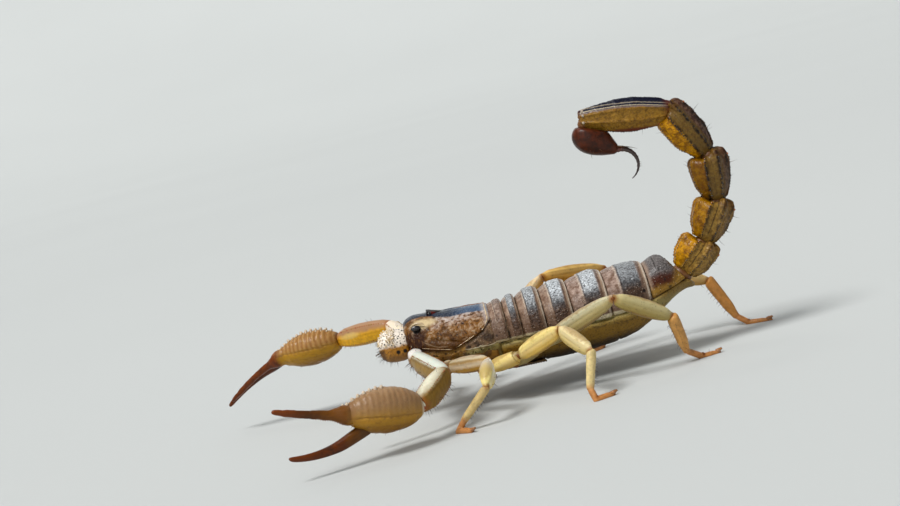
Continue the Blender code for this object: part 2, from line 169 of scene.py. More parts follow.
def stretch(piece, link, more):
    # lengthens a piece along its link, about its middle, so that it tucks into its neighbours
    middle = link.start.lerp(link.end, 0.5)
    for vertex in piece.data.vertices:
        off = (vertex.co - middle).dot(link.axis)
        vertex.co += link.axis * off * more / link.length


def texture(name, kind, **settings):
    made = bpy.data.textures.new(name, kind)
    for key, value in settings.items():
        setattr(made, key, value)
    return made


def smoothStep(value, low, high):
    t = min(max((value - low) / (high - low), 0), 1)
    return t * t * (3 - 2 * t)


def direction(heading, rise):
    heading, rise = math.radians(heading), math.radians(rise)
    return Vector((math.cos(rise) * math.cos(heading), math.cos(rise) * math.sin(heading), math.sin(rise)))


def finish(piece, material, slot, *nodes):
    # the piece gets its material, its real size and its place in the frame
    piece.data.materials.clear()
    piece.data.materials.append(material)
    for vertex in piece.data.vertices:      # nothing reaches into the floor
        vertex.co.z = max(vertex.co.z, 0.02)
    piece.data.transform(toMetres)
    pick(piece)
    bpy.ops.object.shade_smooth()
    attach(piece, "root")
    if nodes:
        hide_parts(*nodes)


class Signal:
    # one socket of a material's nodes, on which sums can be written as usual

    def __init__(self, owner, socket):
        self.owner, self.socket = owner, socket

    def maths(self, operation, *values):
        return self.owner.node("ShaderNodeMath", {"operation": operation}, dict(enumerate(values)))

    def most(self, other):
        return self.maths("MAXIMUM", self, other)

    def size(self):
        return self.maths("ABSOLUTE", self)

    def wave(self):
        # 0 where the angle is 0, 1 half a turn on
        return 0.5 - self.maths("COSINE", self) * 0.5

    def step(self, low, high):
        # 0 below low, 1 above high, and smooth between
        made = self.owner.node("ShaderNodeMapRange", {"interpolation_type": "SMOOTHSTEP"},
            {"Value": self, "From Min": min(low, high), "From Max": max(low, high)})
        return 1 - made if low > high else made

    def bell(self, middle, width):
        # 1 at the middle, 0 a width away
        return (self - middle).size().step(width, 0)


for sign, operation in (("add", "ADD"), ("sub", "SUBTRACT"), ("mul", "MULTIPLY"), ("truediv", "DIVIDE"),
        ("pow", "POWER")):
    setattr(Signal, f"__{sign}__", lambda a, b, kind=operation: a.maths(kind, a, b))
    setattr(Signal, f"__r{sign}__", lambda a, b, kind=operation: a.maths(kind, b, a))


def shade(red, green, blue):
    # a colour as seen, 0 to 255, made linear
    return tuple(v / 255 / 12.92 if v <= 10 else ((v / 255 + 0.055) / 1.055) ** 2.4
        for v in (red, green, blue))


def dim(colour, share):
    return tuple(share * c for c in colour)


class Finish:
    # a material built round one Principled shader, with coordinates in millimetres; its colours
    # are linear, or names in the dictionary of the piece, and are laid over one another

    def __init__(self, name, colours, roughness, **constants):
        self.material, self.colours = bpy.data.materials.new(name), colours
        self.material.use_nodes = True
        self.tree = self.material.node_tree
        self.shader = self.tree.nodes["Principled BSDF"]
        self.set("Roughness", roughness)
        for key, value in constants.items():
            self.set(key.replace("_", " "), value)
        self.place = self.mapping(self.node("ShaderNodeTexCoord", {}, {}, "Object"),
            Location=tuple(-1000 * c for c in origin), Scale=(1000,) * 3)

    def set(self, key, value):
        self.feed(self.shader.inputs[key], value)

    def feed(self, socket, value):
        if isinstance(value, Signal):
            self.tree.links.new(value.socket, socket)
        else:
            socket.default_value = value

    def node(self, kind, settings, values, out=0):
        made = self.tree.nodes.new(kind)
        for key, value in settings.items():
            setattr(made, key, value)
        for key, value in values.items():
            self.feed(made.inputs[key], value)
        return Signal(self, made.outputs[out])

    def mapping(self, place, **values):
        return self.node("ShaderNodeMapping", {"vector_type": "POINT"}, {"Vector": place, **values})

    def axis(self, name):
        return self.node("ShaderNodeSeparateXYZ", {}, {0: self.place}, name)

    def noise(self, scale, detail=3, rough=0.55, stretch=None, warp=0.0):
        place = self.mapping(self.place, Scale=stretch) if stretch else self.place
        return self.node("ShaderNodeTexNoise", {}, {"Vector": place, "Scale": scale, "Detail": detail,
            "Roughness": rough, "Distortion": warp}, "Fac")

    def cells(self, scale, jitter=1.0):
        return self.node("ShaderNodeTexVoronoi", {}, {"Vector": self.place, "Scale": scale,
            "Randomness": jitter}, "Distance")

    def along(self, way, start):
        # how far a point lies from a start along a direction
        reach = self.node("ShaderNodeVectorMath", {"operation": "DOT_PRODUCT"},
            {0: self.place, 1: tuple(way)}, "Value")
        return reach - Vector(start).dot(Vector(way))

    def lengthwise(self, link):
        # 0 at the start of a link, 1 at its end
        return self.along(link.axis, link.start) / link.length

    def height(self, link, size):
        # how high above a link's axis, in sizes
        return self.along(link.top, link.start) / size

    def away(self, point):
        # distance from a point
        return self.node("ShaderNodeVectorMath", {"operation": "DISTANCE"},
            {0: self.place, 1: tuple(point)}, "Value")

    def dim(self, name, share):
        return dim(shade(*self.colours[name]), share)

    def mix(self, share, first, second):
        def colour(value):
            value = shade(*self.colours[value]) if isinstance(value, str) else value
            return value if isinstance(value, Signal) else (*value, 1)
        return self.node("ShaderNodeMix", {"data_type": "RGBA", "blend_type": "MIX"},
            {0: share, 6: colour(first), 7: colour(second)}, 2)

    def lay(self, share, colour):
        # one more layer of colour
        self.colour = self.mix(share, self.colour, colour)

    def bump(self, height, strength, depth):
        self.set("Normal", self.node("ShaderNodeBump", {}, {"Strength": strength,
            "Distance": depth * 0.001, "Height": height}, "Normal"))

    def done(self, roughness=None):
        self.set("Base Color", self.colour)
        if roughness is not None:
            self.set("Roughness", roughness)
        return self.material


def mottled(name, colours, roughness, first, second, scale, detail=3, edges=None, **constants):
    # a finish of two colours in soft patches, or in patches with edges
    made = Finish(name, colours, roughness, **constants)
    tone = made.noise(scale, detail)
    made.colour = made.mix(tone.step(*edges) if edges else tone, first, second)
    return made.done()


print("tools ready")


studio = {
    "lens": 80, "elevation": 5.5, "roll": 14, "camera": (-2.114, -198.505, 34.431),
    "floor": (198, 201, 199), "keyPower": 2.7, "rimPower": 1.4, "fillPower": 0.6, "skyPower": 0.34,
}


def setCamera():
    tilt, roll = math.radians(studio["elevation"]), math.radians(studio["roll"])
    back = Vector((0, -math.cos(tilt), math.sin(tilt)))
    level = Vector((1, 0, 0))
    up = level.cross(-back)
    across = level * math.cos(roll) - up * math.sin(roll)
    upward = level * math.sin(roll) + up * math.cos(roll)
    bpy.ops.object.camera_add()
    camera = bpy.context.object
    camera.name = "camera"
    turn = Matrix((across, upward, back)).transposed().to_4x4()
    camera.matrix_world = Matrix.Translation(toMetres @ Vector(studio["camera"])) @ turn
    camera.data.lens = studio["lens"]
    camera.data.clip_start, camera.data.clip_end = 0.01, 20
    bpy.context.scene.camera = camera


def setFloor():
    # a floor that curves up into a backdrop far behind
    bpy.ops.mesh.primitive_plane_add(size=6, location=(0, 0, 0))
    floor = bpy.context.object
    floor.name = "floor"
    editMesh(floor, "EDGE", "DESELECT")
    leaveEdit()
    for edge in floor.data.edges:
        edge.select = all(floor.data.vertices[v].co.y > 2.9 for v in edge.vertices)
    bpy.ops.object.mode_set(mode="EDIT")
    bpy.ops.mesh.extrude_region_move(TRANSFORM_OT_translate={"value": (0, 0, 4)})
    leaveEdit()
    for edge in floor.data.edges:
        edge.select = all(floor.data.vertices[v].co.y > 2.9 and floor.data.vertices[v].co.z < 0.1
            for v in edge.vertices)
    bpy.ops.object.mode_set(mode="EDIT")
    bpy.ops.mesh.bevel(offset=1.8, segments=24)
    leaveEdit()
    bpy.ops.object.shade_smooth()
    floor.data.materials.append(mottled("studio_floor", studio, 0.75, "floor",
        dim(shade(*studio["floor"]), 0.93), 0.004, 2))


def lamp(name, way, power, softness, colour=(1, 1, 1)):
    # a wide soft light that shines along a direction
    bpy.ops.object.light_add(type="SUN")
    light = bpy.context.object
    light.name = name
    light.rotation_euler = Vector(way).to_track_quat("-Z", "Y").to_euler()
    light.data.energy, light.data.angle = power, math.radians(softness)
    light.data.color = colour


setCamera()
setFloor()
lamp("key", (0.45, 0.35, -1), studio["keyPower"], 24)
lamp("rim", (0.25, -1, -0.9), studio["rimPower"], 30, (1.0, 0.96, 0.9))
lamp("fill", (0.5, 1, -0.35), studio["fillPower"], 60, (0.95, 0.98, 1.0))
sky = bpy.data.worlds.new("sky")
sky.use_nodes = True
sky.node_tree.nodes["Background"].inputs[0].default_value = (0.97, 0.98, 1.0, 1)
sky.node_tree.nodes["Background"].inputs[1].default_value = studio["skyPower"]
bpy.context.scene.world = sky
bpy.context.scene.view_settings.view_transform = "Standard"
print("studio ready")


# the lines that the limbs follow, from the body outwards
legHips = ((-6.3, 3.4, 5.6), (-4.5, 3.7, 4.8), (-1.2, 4.2, 3.9), (1.3, 4.35, 3.7))
legThickness = (1.1, 1.45, 1.6, 1.6)
legRows = {   # length, heading and rise of each link; one with no rise comes down to the floor
    ("left", 1): ((1.8, -100, -12), (3.1, -72, -22), (3.6, -130, -14), (3.0, -152, -1),
                  (1.4, -158, 0), (1.6, -161, 4)),
    ("left", 2): ((1.9, -102, 6), (6.3, -52, 4), (4.0, -104, -28), (3.6, -178, -42),
                  (1.1, 156), (1.9, -50)),
    ("left", 3): ((4.0, -36, 10), (5.1, -25, 21), (5.2, -62, -24), (3.5, -123, -59),
                  (1.2, -60), (2.0, 23)),
    ("left", 4): ((3.5, -22, 21), (9.1, -27, 21), (6.4, 16, -31), (3.8, 56, -72),
                  (2.0, 26), (1.8, 13)),
    ("right", 1): ((1.9, 108, 3), (4.2, 74, -15), (2.8, 106, -46), (2.2, 165, -40),
                   (1.6, 184), (1.8, 178)),
    ("right", 2): ((2.1, 78, 14), (4.4, 74, 23), (3.5, 66, -48), (3.0, -95, -72),
                   (1.6, 20), (1.9, 74)),
    ("right", 3): ((3.1, 45, 24), (8.2, 34, 32), (7.8, 27, -8), (6.2, 167, -69),
                   (2.9, 226), (2.0, 40)),
    ("right", 4): ((3.4, 20, 21), (12.8, 12, 14), (7.4, -3, -22), (4.5, -24, -64),
                   (1.5, -19), (2.4, -26)),
}
palpHip = (-7.9, 3.2, 6.5)
palpRows = {
    "left": ((1.9, -86, -2), (6.4, -68, -10), (5.5, -120, -17), (6.9, -163, 9)),
    "right": ((1.8, 104, 14), (6.0, 107, 12), (7.0, 145, -3.5), (6.8, 163, -5.5)),
}
tailRoot = (19.9, 0.0, 7.7)
tailRows = ((3.7, 0, 42), (4.3, 0, 58), (4.8, 0, 87), (5.95, 0, 118), (8.9, 0, 172))


footHeight = 0.3      # how high the axis of a foot lies where it comes down


def chain(start, rows):
    # the joints of a limb and the directions of its links
    joints, ways = [Vector(start)], []
    for length, heading, *given in rows:
        drop = (footHeight - joints[-1].z) / length
        rise = given[0] if given else math.degrees(math.asin(max(-1, min(1, drop))))
        ways.append(direction(heading, rise))
        joints.append(joints[-1] + ways[-1] * length)
    return joints, ways


def legLine(side, number):
    x, y, z = legHips[number - 1]
    return chain((x, sides[side] * y, z), legRows[side, number])


def palpLine(side):
    x, y, z = palpHip
    return chain((x, sides[side] * y, z), palpRows[side])


class Link:
    # one link of a limb: where it runs, and its upper and outer directions

    def __init__(self, start, end, up=(0, 0, 1)):
        self.start, self.end = Vector(start), Vector(end)
        self.length = (self.end - self.start).length
        self.axis = (self.end - self.start).normalized()
        self.side = self.axis.cross(Vector(up)).normalized()
        self.top = self.side.cross(self.axis)

    def at(self, share, angle=0.0, reach=0.0):
        # a point along the link and off its axis; angle 0 is the top, 90 the side
        return self.start.lerp(self.end, share) + self.out(angle) * reach

    def out(self, angle):
        turn = math.radians(angle)
        return self.top * math.cos(turn) + self.side * math.sin(turn)

    def around(self, point):
        # how far along, at what angle and how far off the axis a point is
        off = point - self.start
        t = off.dot(self.axis) / self.length
        high, wide = off.dot(self.top), off.dot(self.side)
        return t, math.degrees(math.atan2(wide, high)), math.hypot(high, wide)


surfaces = {}      # the skin of each finished piece, for what grows on it


def settle(piece):
    # keeps a piece's surface, in millimetres, before the piece goes to its real size
    points = [vertex.co.copy() for vertex in piece.data.vertices]
    faces = [tuple(face.vertices) for face in piece.data.polygons]
    surfaces[piece.name] = BVHTree.FromPolygons(points, faces)


def outside(key, inside, way, reach=6.0):
    # where a line from inside a piece leaves it, and which way the skin faces there
    found, last, start = None, None, Vector(inside)
    way = Vector(way).normalized()
    for _ in range(6):
        place, normal, _, _ = surfaces[key].ray_cast(start, way, reach)
        if place is None:
            break
        found, last = place, normal
        start = place + way * 0.01
    if found is None:
        return None
    return found, last if last.dot(way) > 0 else -last


def standing(place, up, scale, lean=(0.31, 0.95, 0.05)):
    # a matrix that stands a template on a surface: its Z along up, its Y towards lean
    up = Vector(up).normalized()
    side = Vector(lean).cross(up)
    if side.length < 1e-3:
        side = Vector((0.9, 0.1, 0.3)).cross(up)
    side.normalize()
    scale = scale if hasattr(scale, "__len__") else (scale, scale, scale)
    turn = Matrix((side, up.cross(side), up)).transposed().to_4x4()
    return Matrix.Translation(place) @ turn @ Matrix.Diagonal((*scale, 1))


def scatter(template, places, name, rooms=None):
    # one mesh of many copies of a template; rooms are their patches on the map OFBake
    bm = bmesh.new()
    layer = bm.loops.layers.uv.new("OFBake") if rooms else None
    for number, matrix in enumerate(places):
        points, faces = len(bm.verts), len(bm.faces)
        bm.from_mesh(template.data)
        bm.verts.ensure_lookup_table()
        bm.faces.ensure_lookup_table()
        bmesh.ops.transform(bm, matrix=matrix, verts=bm.verts[points:])
        if rooms:
            u, v = rooms[number]
            for face in bm.faces[faces:]:
                for corner, loop in enumerate(face.loops):
                    loop[layer].uv = (u + 0.003 * (corner in (1, 2)), v + 0.003 * (corner > 1))
    mesh = bpy.data.meshes.new(name)
    bm.to_mesh(mesh)
    bm.free()
    made = bpy.data.objects.new(name, mesh)
    bpy.context.scene.collection.objects.link(made)
    return made


def tube(points, radius, name, shares=None):
    # a round bead laid through points; shares thin or thicken it along the way
    pick()
    bpy.ops.curve.primitive_nurbs_path_add()
    path = bpy.context.object
    path.name = name
    path.data.splines.clear()
    spline = path.data.splines.new("POLY")
    spline.points.add(len(points) - 1)
    for number, point in enumerate(points):
        spline.points[number].co = (*point, 1)
        spline.points[number].radius = shares[number] if shares else 1
    path.data.bevel_depth, path.data.bevel_resolution = radius, 3
    path.data.use_fill_caps = True
    pick(path)
    bpy.ops.object.convert(target="MESH")
    return bpy.context.object


def ball(name, subdivisions):
    pick()
    bpy.ops.mesh.primitive_ico_sphere_add(subdivisions=subdivisions, radius=1)
    bpy.context.object.name = name
    return bpy.context.object


def spike(name, corners, radius, bend, foot):
    # a thorn or bristle one unit long that bends towards its own Y, its foot at that height
    pick()
    bpy.ops.mesh.primitive_cylinder_add(vertices=corners, radius=radius, depth=1, location=(0, 0, 0.5))
    thorn = bpy.context.object
    editMesh(thorn)
    for cut in (0.2, 0.4, 0.6, 0.8):
        bpy.ops.mesh.select_all(action="SELECT")
        bpy.ops.mesh.bisect(plane_co=(0, 0, cut), plane_no=(0, 0, 1))
    leaveEdit()
    for vertex in thorn.data.vertices:
        vertex.co.z += foot + 0.5
        taper = 1 - 0.88 * vertex.co.z
        vertex.co.x *= taper
        vertex.co.y = vertex.co.y * taper + bend * vertex.co.z ** 2
    thorn.name = name
    return thorn


def room(place):
    # a bristle's patch on an unwrap of the animal round its long axis
    turn = math.atan2(place.y, place.z - 6) / math.tau + 0.5
    return 0.02 + 0.95 * (place.x + 30) / 62, 0.02 + 0.95 * turn


bead, bigBead = ball("bead_shape", 2), ball("ball_shape", 3)
thorn = spike("thorn_shape", 7, 0.3, 0.15, -0.5)
hair = spike("bristle_shape", 4, 0.055, 0.3, 0)
bristles = []      # where each bristle stands: its matrix and its patch


def grow(place, up, length, lean, thin=1.0):
    # one bristle, with a length and bend of its own
    lean = Vector(lean) + Vector([chance.uniform(-0.3, 0.3) for _ in range(3)])
    up = Vector(up).normalized() + Vector([chance.uniform(-0.16, 0.16) for _ in range(3)])
    size = length * chance.uniform(0.75, 1.2)
    if place[2] + up.z * size > 0.05:      # none reaches into the floor
        bristles.append((standing(Vector(place) - up * 0.03, up, (size * thin, size * thin, size), lean),
            room(place)))


def growAlong(key, link, count, shares, turns, *bristle):
    # bristles at random places along a link
    for _ in range(count):
        found = outside(key, link.at(chance.uniform(*shares)), link.out(chance.uniform(*turns)))
        if found:
            grow(*found, *bristle)


def keeled(link, keels, width, ends):
    # how near a point is to a link's lengthwise keels, away from both its ends
    def weigh(point):
        t, angle, _ = link.around(point)
        near = min(abs(abs(angle) - keel) for keel in keels)
        return smoothStep(near, width, 0) * smoothStep(t, 0.0, ends) * smoothStep(t, 1.0, 1 - ends)
    return weigh


chance = random.Random(7)
granules = texture("granules", "VORONOI", noise_scale=0.34)
fineGranules = texture("fine_granules", "VORONOI", noise_scale=0.2)
waves = texture("waves", "CLOUDS", noise_scale=0.9, noise_depth=2)
wrinkles = texture("wrinkles", "CLOUDS", noise_scale=0.35, noise_depth=3)
print("shapes ready")


shieldEdge = ((-8.5, 7.7), (-8.1, 7.3), (-6.9, 6.9), (-5.4, 6.5), (-4.3, 6.25), (-3.4, 6.45), (-2.0, 7.0),
    (-0.8, 7.5), (-0.25, 8.1))      # x and z along the shield's lower edge


def edgeHeight(x):
    # how high the shield's edge is; behind it, the height of its rear corner
    for (a, low), (b, high) in zip(shieldEdge, shieldEdge[1:]):
        if x < b:
            return low + (high - low) * max(0, x - a) / (b - a)
    return trunk["rearCorner"]


trunk = {
    "rearCorner": 8.3, "plateVoxel": 0.075, "plateSwell": 0.05, "granuleHeight": 0.1,
    "front": (156, 130, 110), "frontPale": (172, 148, 134), "frontDark": (108, 80, 62),
    # the silver is a painted sheen and painted glints on the crowns of the bands
    "paintedSheen": (222, 228, 232), "slate": (66, 63, 64), "bandLow": (80, 57, 42), "side": (92, 68, 50),
    "brown": (84, 62, 48), "rim": (180, 152, 126), "line": (226, 212, 192), "spots": (26, 14, 10),
    "skin": (116, 90, 64), "skinDark": (58, 42, 28), "edge": (206, 194, 160), "bellyHigh": (156, 144, 88),
    "bellyMiddle": (130, 96, 18), "bellyLow": (50, 32, 6), "rear": (156, 118, 42), "purple": (104, 98, 96),
    "ochre": (146, 106, 44), "redBrown": (70, 26, 4),
    # for each plate: how far it swells, where its pale line and its rear rim begin, how strong the painted
    # sheen on its crown is
    "swells": (0.06, 0.1, 0.17, 0.17, 0.17, 0.04, 0.17), "lines": (0.3, 0.3, 0.3, 0.3, 0.34, 0.31),
    "rears": (0.8, 0.8, 0.78, 0.8, 0.8, 0.82), "sheenShare": (0.5, 0.5, 0.66, 1.0, 1.0, 0.4),
}


def trunkSkin():
    # the soft skin that shows between the plates: all the trunk's solids, closed up, drawn in
    nodes = [f"back_plate_{n}" for n in range(1, 8)] + ["belly", "breast", "head_shield"]
    skin = joinAll([copyOf(node, f"skin_{node}") for node in nodes], "trunk_skin")
    push(skin, 0.2)
    modify(skin, "REMESH", mode="VOXEL", voxel_size=0.14 * fine, adaptivity=0)
    modify(skin, "SMOOTH", factor=0.5, iterations=8)
    push(skin, -0.42)
    # it stands further out under the head shield, over the roots of the legs
    push(skin, 0.46, lambda p: smoothStep(p.x, 0.9, 0.0) * smoothStep(p.x, -7.6, -5.8)
        * smoothStep(p.z, 4.9, 5.9) * smoothStep(p.z, edgeHeight(p.x) + 0.1, edgeHeight(p.x) - 0.25))
    roughen(skin, granules, -0.06, 0.4)
    roughen(skin, wrinkles, 0.08)
    soft = Finish("soft_skin", trunk, 0.5, Specular_IOR_Level=0.2, Subsurface_Weight=0.1,
        Subsurface_Scale=0.0006)
    tone = soft.noise(1.4, 4).step(0.38, 0.66)
    soft.colour = soft.mix(tone, "skin", "skinDark")
    x, z = soft.axis("X"), soft.axis("Z")
    fore = (x + (tone - 0.5) * 0.8).step(-2.4, -3.6) * z.step(6.9, 6.2)
    soft.lay(fore, soft.mix(tone, "ochre", soft.dim("ochre", 0.6)))
    # below a thin wavy pale line it turns olive
    behind = x.step(-3.2, -2.4)
    line = z - 6.0 + (soft.noise(1.1, 2) - 0.5) * 0.5
    soft.lay(line.step(0.05, -0.2) * behind * 0.85, soft.mix(tone, "bellyHigh", soft.dim("bellyHigh", 0.5)))
    soft.lay(line.bell(0.04, 0.08) * behind * x.step(8, 5) * 0.8, "edge")
    spots = soft.cells(1.9).step(0.3, 0.16)
    soft.lay(spots * 0.75, "spots")
    pale = soft.cells(3.6).step(0.24, 0.1)
    soft.lay(pale * 0.6, "rim")
    soft.bump(soft.noise(7, 3) + soft.cells(4.2).step(0.5, 0.1) * 0.6, 0.6, 0.08)
    finish(skin, soft.done(), "belly")


def backPlateFinish(number, start, end):
    # bands across a plate: brown front, thin pale line, granular band, pale rear rim
    plate = Finish(f"back_plate_{number}", trunk, 0.34, Specular_IOR_Level=0.2, Coat_Roughness=0.14)
    x, z = plate.axis("X"), plate.axis("Z")
    wobble = plate.noise(0.9, 3) - 0.5
    t = (x - start + wobble * 0.2) / (end - start)
    height = z + wobble * 0.9
    tone = plate.noise(1.8, 5, 0.65)
    streaks = plate.noise(3.2, 5, 0.72, stretch=(0.7, 1.5, 1.5), warp=0.8)
    fleck = plate.noise(6.2, 5, 0.75, stretch=(0.55, 1.4, 1.4))
    glintDots = plate.cells(5.5).step(0.2, 0.06)
    specks = plate.cells(3.4).step(0.3, 0.12)
    crown = height.step(8.3, 9.5)
    if number == 7:      # the last one is a grey-purple dome over red-brown flanks
        plate.colour = plate.mix(fleck.step(0.4, 0.6), plate.dim("purple", 0.35), plate.dim("purple", 1.4))
        plate.lay(height.step(9.0, 8.0), "redBrown")
        plate.lay(t.step(0.14, 0.0) * 0.8, "front")
        slit = (x - 17.2).bell(0, 0.09) * z.step(9.0, 9.2)
        plate.lay(slit, "spots")
        plate.lay((t - (height - 8) * 0.15).step(0.55, 0.9) * 0.85, "rear")
        plate.lay(height.step(7.8, 7.0) * 0.85, "rear")
        inBand = height.step(7.6, 8.6)
    else:
        lineAt, rearAt, sheenShare = (trunk[key][number - 1] for key in ("lines", "rears", "sheenShare"))
        top = height.step(7.2, 9.0)
        front = plate.mix(tone.step(0.36, 0.66), "frontDark", "front" if number < 5 else "frontPale")
        front = plate.mix((1 - top) * 0.75, front, "side")
        band = plate.mix(streaks.step(0.36, 0.6), plate.dim("slate", 0.4), "slate")
        # painted sheen and painted glints: silver streaks and dots, strongest on the crown of the band
        band = plate.mix(fleck.step(0.38, 0.58) * (crown * sheenShare * 0.9 + 0.06), band, "paintedSheen")
        band = plate.mix(glintDots * (crown * 0.6 + 0.2), band, "paintedSheen")
        low = plate.mix(streaks.step(0.38, 0.62), plate.dim("bandLow", 0.45), "bandLow")
        band = plate.mix(height.step(8.7, 7.6), band, low)
        inBand = t.step(lineAt, lineAt + 0.07) * t.step(rearAt + 0.07, rearAt - 0.02)
        inBand = inBand * (0.15 if number == 1 else 1)
        plate.colour = plate.mix(inBand, front, band)
        plate.lay(t.bell(lineAt, 0.04) * height.step(7.2, 9.2) * 0.5 * streaks.step(0.36, 0.56), "line")
        plate.lay(t.bell(lineAt + 0.055, 0.035) * top * 0.8, "spots")
        plate.lay(t.step(rearAt, rearAt + 0.07) * (0.5 + top * 0.3), "brown")
        plate.lay(t.step(rearAt + 0.07, rearAt + 0.13) * (top * 0.4 + 0.3), "rim")
        plate.lay(t.step(0.94, 0.965) * (fleck.step(0.3, 0.5) * 0.4 + 0.3), "line")
        plate.lay(height.step(7.4, 6.4) * 0.55, "side")
    plate.lay(specks * height.step(9.0, 8.0) * 0.55, "spots")
    pale = plate.cells(4.4).step(0.22, 0.08) * height.step(9.3, 8.0)
    plate.lay(pale * 0.45, "line")
    spots = plate.cells(1.1).step(0.28, 0.12) * height.step(8.6, 7.6)
    plate.lay(spots * plate.noise(0.7, 2).step(0.44, 0.54), "spots")
    plate.lay(z.step(6.3, 6.12) * 0.8, "edge")
    grains = plate.cells(4.2).step(0.55, 0.12)
    scratch = plate.noise(6, 4, 0.6, stretch=(0.5, 1.5, 1.5))
    plate.bump(grains * (inBand * 0.7 + 0.4) + scratch * 0.6, 0.8, 0.09)
    plate.set("Coat Weight", inBand * crown * (0.1 if number == 7 else 0.5) + 0.06)
    return plate.done(plate.noise(5, 2) * 0.2 + (1 - crown) * 0.14 + (0.36 if number == 7 else 0.18))


def backPlates():
    for number in range(1, 8):
        node = f"back_plate_{number}"
        low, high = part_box(node)
        start, end = (toMillimetres @ low).x, (toMillimetres @ high).x
        plate = copyOf(node, f"backPlate{number}")
        roundOff(plate, trunk["plateVoxel"], 5, trunk["plateSwell"], 2, 0.75)

        def share(point):
            return (point.x - start) / (end - start)

        # each plate swells towards its rear third and dips at both edges
        push(plate, trunk["swells"][number - 1],
            lambda p: smoothStep(share(p), -0.05, 0.5) * smoothStep(share(p), 1.02, 0.72)
            * smoothStep(p.z, 6.0, 7.4))
        if number == 1:      # the first one tucks in under the head shield
            for vertex in plate.data.vertices:
                vertex.co.x -= 0.4 * smoothStep(share(vertex.co), 0.4, 0.0)
        if number == 7:
            push(plate, 0.34, lambda p: smoothStep(abs(share(p) - 0.42), 0.5, 0.0)
                * smoothStep(p.z, 7.6, 9.2))
            for vertex in plate.data.vertices:      # its skirt laps over the belly
                vertex.co.z -= 0.16 * smoothStep(vertex.co.z, 6.9, 6.3)
        band = group(plate, lambda p: smoothStep(share(p), 0.24, 0.36) * smoothStep(share(p), 0.92, 0.8)
            * smoothStep(p.z, 6.4, 7.6))
        roughen(plate, granules, -trunk["granuleHeight"], 0.4, band)
        if number < 7:
            push(plate, -0.05, lambda p: smoothStep(abs(share(p) - 0.27), 0.09, 0.0)
                * smoothStep(p.z, 6.2, 7.0))
        roughen(plate, waves, 0.08)
        settle(plate)
        finish(plate, backPlateFinish(number, start, end), "back", node)


def bellyPiece():
    belly = copyOf("belly", "bellyPlates")
    roundOff(belly, 0.11, 8, 0.1, 2, 0.6)
    edges = (4.6, 8.4, 12.2, 16.2)      # the borders of the belly's plates
    push(belly, -0.12, lambda p: max(smoothStep(abs(p.x + 0.1 * (p.y / 3) ** 2 - e), 0.16, 0.0)
        for e in edges) * smoothStep(p.z, 5.2, 4.4))
    roughen(belly, waves, 0.12)
    roughen(belly, fineGranules, -0.04, 0.4)
    under = Finish("belly_shell", trunk, 0.5, Specular_IOR_Level=0.25, Coat_Weight=0.05, Coat_Roughness=0.3)
    x, z = under.axis("X"), under.axis("Z")
    height = z + (under.noise(1.2, 3) - 0.5) * 0.8
    under.colour = under.mix(height.step(6.2, 4.9), "bellyHigh", "bellyMiddle")
    # darker towards the bottom: painted shade under the body
    under.lay(height.step(4.4, 3.2), "bellyLow")
    streaks = under.noise(2.2, 5, 0.6, stretch=(0.5, 1.5, 1.2))
    under.lay(streaks.step(0.5, 0.7) * 0.55, "bellyLow")
    under.lay(x.step(14.6, 17.6) * height.step(5.4, 6.6) * 0.85, under.dim("rear", 0.6))
    for scale in (3.4, 5.2):
        specks = under.cells(scale).step(0.36, 0.14) * 0.5
        under.lay(specks, "bellyLow")
    grains = under.cells(5).step(0.5, 0.1) * 0.5
    under.bump(under.noise(5, 5, 0.65, stretch=(0.6, 1.4, 1.4)) + grains, 0.6, 0.08)
    settle(belly)
    finish(belly, under.done(), "belly", "belly")


trunkSkin()
backPlates()
bellyPiece()
print("trunk ready")


head = {
    "strip": (10, 17, 38), "stripRear": (66, 86, 112), "crest": (140, 92, 52), "flank": (126, 82, 30),
    "flankDark": (44, 23, 10), "flankPale": (172, 146, 116), "mauve": (198, 186, 180), "low": (78, 46, 10),
    "cream": (208, 186, 142), "cheek": (50, 22, 4), "rim": (214, 192, 150), "mound": (14, 5, 5),
    "moundRed": (104, 24, 12), "jawTop": (238, 226, 210), "jawLow": (172, 116, 30), "dots": (18, 9, 5),
    "ochre": (158, 114, 46), "ochreDark": (92, 62, 24), "comb": (112, 80, 34), "combDark": (58, 38, 14),
}


